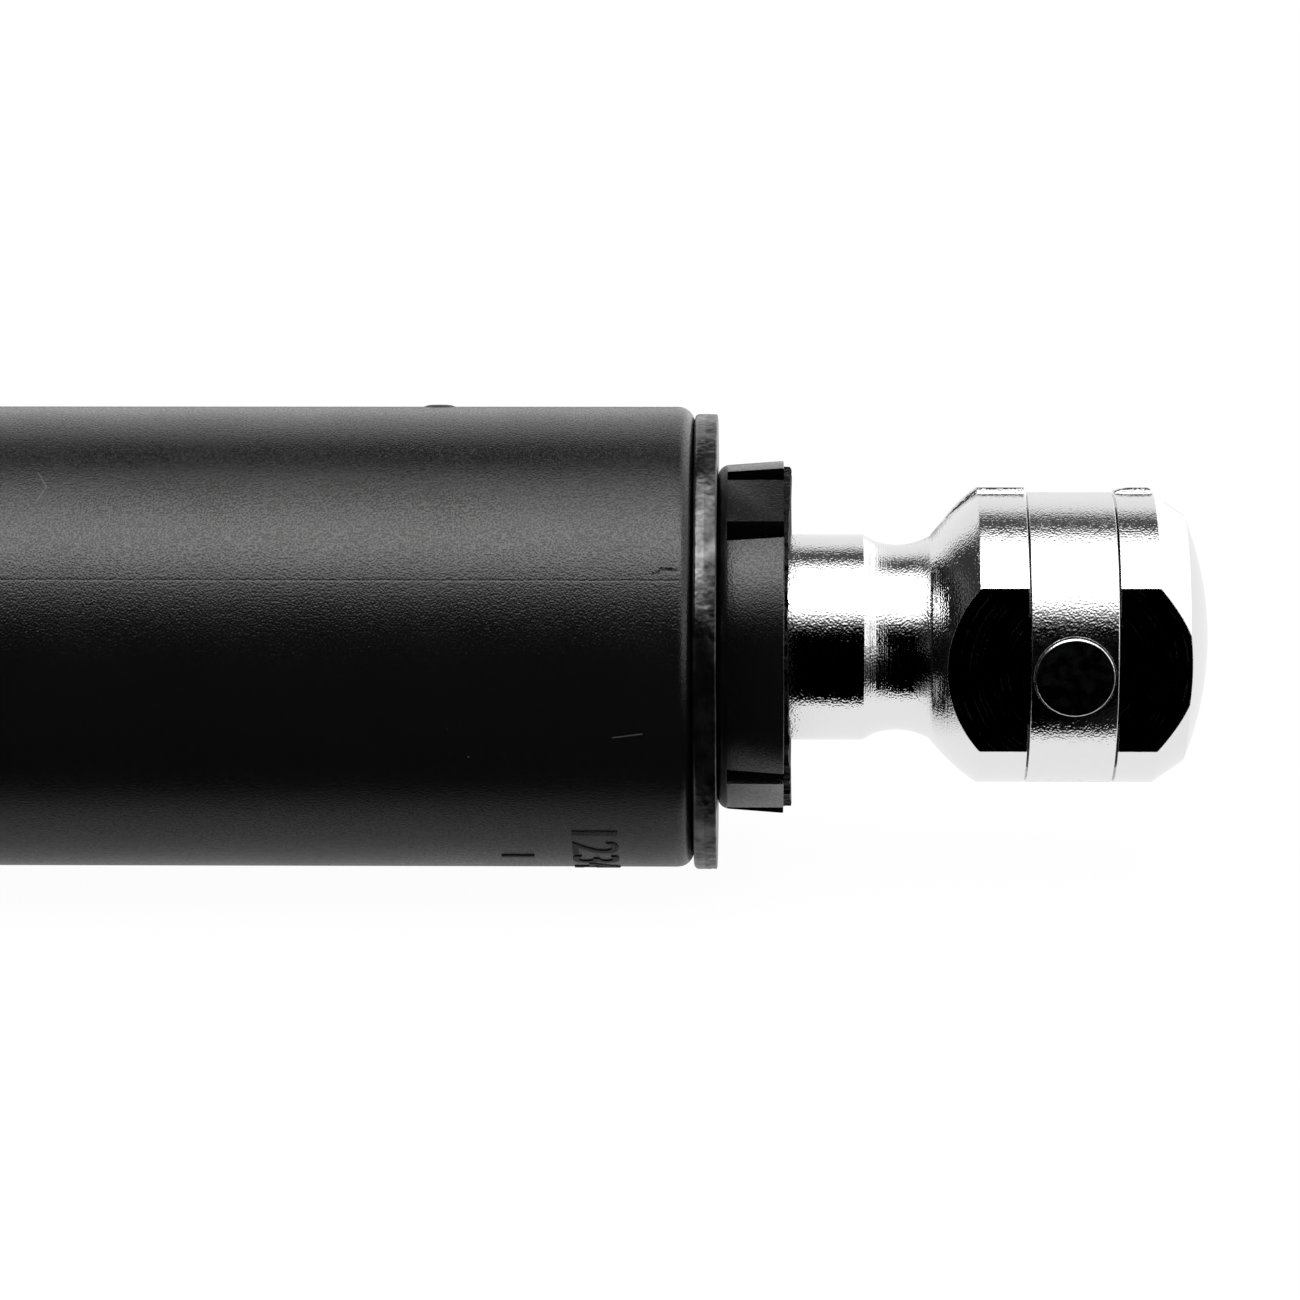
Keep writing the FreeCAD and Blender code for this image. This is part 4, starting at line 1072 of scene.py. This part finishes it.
# Socket clips: sprung bands of plated steel round the heads' front halves. A hole drops over
# the pin, and two hooks reach through windows behind the ball.
CLIP_HALF = 2.6
CLIP_RADIUS = 7.95
CLIP_OUTER = 8.8
CLIP_LEG = 1.2
CLIP_HOLE = 2.45
CLIP_STEPS = 120
HOOK_HALF = 1.2
HOOK_ROOT = 0.6
HOOK_LOW = 1.45
HOOK_TOP = 2.45
HOOK_TIP = 4.85
HOOK_RAMP = 0.5
HOOK_BEND = 1.2
HOOK_SINK = 0.05


def clip_mesh():
    section = softened([
        (-CLIP_HALF, CLIP_RADIUS, 0.06), (CLIP_HALF, CLIP_RADIUS, 0.06),
        (CLIP_HALF, CLIP_OUTER, 0.07), (-CLIP_HALF, CLIP_OUTER, 0.07)])
    stations = [(CLIP_LEG, math.pi / 2), (CLIP_LEG / 2, math.pi / 2)]
    stations += [(0.0, math.pi / 2 - math.pi * step / CLIP_STEPS) for step in range(CLIP_STEPS + 1)]
    stations += [(CLIP_LEG / 2, -math.pi / 2), (CLIP_LEG, -math.pi / 2)]
    rows = [[Vector((along, leg - radius * math.cos(angle), radius * math.sin(angle)))
             for along, radius in section] for leg, angle in stations]
    band = skin_of("clip_band", rows, closed=False)
    inside, outside = CLIP_RADIUS + HOOK_SINK, CLIP_OUTER - HOOK_SINK
    bend = [(HOOK_TOP - HOOK_BEND * (1 - math.sin(turn)), outside - HOOK_BEND * (1 - math.cos(turn)))
            for turn in (math.pi / 16 * step for step in range(9))]
    hook = [(HOOK_ROOT, inside), (HOOK_ROOT, outside)] + bend + [
        (HOOK_TOP, HOOK_TIP + HOOK_RAMP), (HOOK_TOP - HOOK_RAMP, HOOK_TIP), (HOOK_LOW, HOOK_TIP),
        (HOOK_LOW, inside)]
    hooks = [block_mesh("clip_hook", [(across, up * side) for across, up in hook], -HOOK_HALF, HOOK_HALF)
             for side in (1, -1)]
    band = carve(band, hooks, "UNION")
    hole = turned_upright("clip_hole", plain_outline([
        (-CLIP_OUTER - OVERCUT, 0.0), (-CLIP_OUTER - OVERCUT, CLIP_HOLE),
        (-FLAT_FACE, CLIP_HOLE), (-FLAT_FACE, 0.0)]), 128)
    return carve(band, [hole])


clip_plating = plated_finish("clip_plating", 0.08, 0.00005)
at_both_ends("clip_band", clip_mesh(), clip_plating, "plated_steel", "socket_clip",
             bodies=("cylinder_clip", "rod_clip"), sharp=28.0)


# Clip pins: flat-headed steel dowels, turned, plated and pressed into the heads' front flats.
# The clips' holes drop over them.
PIN_RADIUS = 2.375
PIN_FACE = 8.85


def pin_mesh():
    return turned_upright("clip_pin", softened([
        (-PIN_FACE, 0.0), (-PIN_FACE, PIN_RADIUS, 0.09), (-PIN_ROOT, PIN_RADIUS), (-PIN_ROOT, 0.0)]), 128)


at_both_ends("flat_pin", pin_mesh(), clip_plating, "plated_steel", "clip_pin")


# Photo studio: a pale floor that the strut lies on, a dark room in front of it, a soft light
# overhead and white behind. The camera stands as the photo's did.
CAMERA_TILT = math.radians(16.0)
CAMERA_DISTANCE = 0.321
CAMERA_ALONG = -0.0185
VIEW_CENTRE = -0.0254
VIEW_DROP = 0.00081
CAMERA_ROLL = math.radians(-0.27)
CAMERA_LENS = 145.9
FLOOR_HEIGHT = -0.01418
DIFFUSE_LEVEL = 0.7

# What the floor shows in a mirror, which is painted light with a painted shadow of the tubes: places along
# and across the strut, in metres, and light levels
TUBES_END = (0.224, 0.236)
PAINTED_GLOW_PAST_TUBES = 0.92
PAINTED_SHADE_AT_TUBES = 0.36
DARK_EDGE_ALONG = (-0.011, -0.0075)
DARK_EDGE_ACROSS = (-0.0115, -0.0123)
DARK_EDGE_SOFT = (-0.006, -0.0006)
DARK_EDGE_HARD = 0.0006
NEAR_END_FADE = (-0.012, 0.08)
NEAR_END_SLANT = 0.55
NEAR_END_LEVEL = 0.5


def studio_camera():
    up = Vector((0, math.sin(CAMERA_TILT), math.cos(CAMERA_TILT)))
    place = Vector((CAMERA_ALONG, -CAMERA_DISTANCE * math.cos(CAMERA_TILT),
                    CAMERA_DISTANCE * math.sin(CAMERA_TILT)))
    target = Vector((VIEW_CENTRE, 0, 0)) - up * VIEW_DROP
    lens = bpy.data.cameras.new("photo_camera")
    lens.lens = CAMERA_LENS
    lens.sensor_width = 36.0
    lens.clip_start = 0.01
    lens.clip_end = 100.0
    camera = bpy.data.objects.new("photo_camera", lens)
    camera.location = place
    aim = (target - place).to_track_quat("-Z", "Y") @ Quaternion((0, 0, 1), CAMERA_ROLL)
    camera.rotation_euler = aim.to_euler()
    bpy.context.scene.collection.objects.link(camera)
    bpy.context.scene.camera = camera


def studio_floor():
    half = STRUT_LENGTH / 2 * 0.001
    bpy.ops.mesh.primitive_plane_add(size=12.0, location=(-half, 0, FLOOR_HEIGHT))
    floor = bpy.context.object
    floor.name = "studio_floor"
    sheet = bpy.data.materials.new("pale_floor")
    sheet.use_nodes = True
    tree = sheet.node_tree
    tree.nodes.clear()
    paths = add_node(tree, "LightPath").outputs
    place = add_node(tree, "TexCoord").outputs["Object"]
    parts = add_node(tree, "SeparateXYZ", {"Vector": place}).outputs
    matt = add_node(tree, "BsdfDiffuse", {"Color": (0.8, 0.8, 0.8, 1.0)})
    white = add_node(tree, "Emission", {"Color": (1.0, 1.0, 1.0, 1.0), "Strength": 1.03})
    seen = add_node(tree, "MixShader", {
        "Fac": calculate(tree, "MULTIPLY", paths["Is Camera Ray"], 0.94),
        1: matt.outputs[0], 2: white.outputs[0]})
    # in a mirror the floor glows with painted light: it is painted dark in front of the strut, and a
    # painted shadow dims it where the tubes would shade it
    from_middle = calculate(tree, "ABSOLUTE", parts["X"])
    painted_tube_shade = between(tree, from_middle, *TUBES_END, PAINTED_SHADE_AT_TUBES, PAINTED_GLOW_PAST_TUBES)
    out = calculate(tree, "SUBTRACT", from_middle, half)
    near_edge = between(tree, out, *DARK_EDGE_ALONG, *DARK_EDGE_ACROSS)
    soft_edge = between(tree, from_middle, *TUBES_END, *DARK_EDGE_SOFT)
    behind = between(tree, calculate(tree, "SUBTRACT", parts["Y"], near_edge), soft_edge, DARK_EDGE_HARD)
    slant = calculate(tree, "ADD", out, calculate(tree, "MULTIPLY", parts["Y"], NEAR_END_SLANT))
    beside = between(tree, slant, *NEAR_END_FADE, 0.0, NEAR_END_LEVEL)
    in_front = calculate(tree, "SUBTRACT", 1.0, behind)
    painted_mirror_glow = add_node(tree, "Emission", {
        "Color": (1.0, 1.0, 1.0, 1.0),
        "Strength": calculate(tree, "MAXIMUM", calculate(tree, "MULTIPLY", painted_tube_shade, behind),
                              calculate(tree, "MULTIPLY", in_front, beside))})
    mirrored = add_node(tree, "MixShader", {
        "Fac": paths["Is Glossy Ray"], 1: seen.outputs[0], 2: painted_mirror_glow.outputs[0]})
    from_below = add_node(tree, "NewGeometry").outputs["Backfacing"]
    clear = add_node(tree, "BsdfTransparent")
    surface = add_node(tree, "MixShader", {
        "Fac": from_below, 1: mirrored.outputs[0], 2: clear.outputs[0]})
    output = add_node(tree, "OutputMaterial")
    tree.links.new(surface.outputs[0], output.inputs["Surface"])
    floor.data.materials.append(sheet)


# Light levels by the angle above the front in degrees: straight ahead of the strut, and
# towards its far end. The other side, past the near end, has one level.
ROOM_AHEAD = (
    (-180, 0.9), (-78, 0.9), (-68, 0.0), (24, 0.0), (33, 0.2), (38, 0.9), (45, 1.7), (52, 3.4), (61, 4.7),
    (70, 4.4), (80, 3.3), (90, 2.1), (100, 1.4), (105, 1.1), (109, 0.08), (127, 0.08), (133, 0.6),
    (138, 0.85), (180, 0.95),
)
ROOM_BEYOND = ((-180, 0.85), (-75, 0.85), (-60, 0.03), (20, 0.03), (143, 0.04), (152, 0.85), (180, 0.85))
ROOM_TOP_LEVEL = 4.7
ROOM_NEAR_SIDE = 1.3
NEAR_SIDE_FROM = (0.46, 0.57)
NEAR_SIDE_SLANT = 0.3
FAR_END_FROM = (-0.74, -0.62)


def level_ramp(tree, turn, levels):
    """Light levels round the strut, from a share of a full turn."""
    ramp = add_node(tree, "ValToRGB", {"Fac": turn})
    stops = ramp.color_ramp.elements
    while len(stops) < len(levels):
        stops.new(0.5)
    for stop, (degrees, level) in zip(stops, levels):
        stop.position = degrees / 360 + 0.5
        share = level / ROOM_TOP_LEVEL
        stop.color = (share, share, share, 1.0)
    return ramp.outputs["Color"]


def studio_room():
    """The room round the strut: dark in front, bright overhead and at the near end, pale behind."""
    room = bpy.data.worlds.new("studio_room")
    bpy.context.scene.world = room
    room.use_nodes = True
    tree = room.node_tree
    facing = add_node(tree, "TexCoord").outputs["Generated"]
    way = add_node(tree, "SeparateXYZ", {"Vector": facing}).outputs
    angle = calculate(tree, "ARCTAN2", way["Z"], calculate(tree, "MULTIPLY", way["Y"], -1.0))
    turn = calculate(tree, "ADD", calculate(tree, "DIVIDE", angle, 2 * math.pi), 0.5)
    beyond = between(tree, way["X"], *FAR_END_FROM, 1.0, 0.0)
    far_side = add_node(tree, "MapRange", {
        "Value": beyond, "To Min": level_ramp(tree, turn, ROOM_AHEAD),
        "To Max": level_ramp(tree, turn, ROOM_BEYOND)})
    slanted = calculate(tree, "ADD", way["X"], calculate(tree, "MULTIPLY", way["Y"], NEAR_SIDE_SLANT))
    both_sides = add_node(tree, "MapRange", {
        "Value": between(tree, slanted, *NEAR_SIDE_FROM), "To Min": far_side.outputs["Result"],
        "To Max": ROOM_NEAR_SIDE / ROOM_TOP_LEVEL})
    mirrored = calculate(tree, "MULTIPLY", both_sides.outputs["Result"], ROOM_TOP_LEVEL)
    paths = add_node(tree, "LightPath").outputs
    other = between(tree, paths["Is Camera Ray"], 0.0, 1.0, DIFFUSE_LEVEL, 1.0, "LINEAR")
    strength = add_node(tree, "MapRange", {
        "Value": paths["Is Glossy Ray"], "To Min": other, "To Max": mirrored})
    tree.links.new(strength.outputs["Result"], tree.nodes["Background"].inputs["Strength"])
    tree.nodes["Background"].inputs["Color"].default_value = (1.0, 1.0, 1.0, 1.0)


def studio_lamp():
    lamp = bpy.data.lights.new("overhead_softbox", "AREA")
    lamp.shape = "RECTANGLE"
    lamp.size = 1.2
    lamp.size_y = 0.7
    lamp.energy = 4.0
    holder = bpy.data.objects.new("overhead_softbox", lamp)
    holder.location = (-0.2, -0.05, 0.8)
    holder.visible_glossy = False
    bpy.context.scene.collection.objects.link(holder)


studio_camera()
studio_floor()
studio_room()
studio_lamp()
bpy.context.scene.view_settings.view_transform = "Standard"
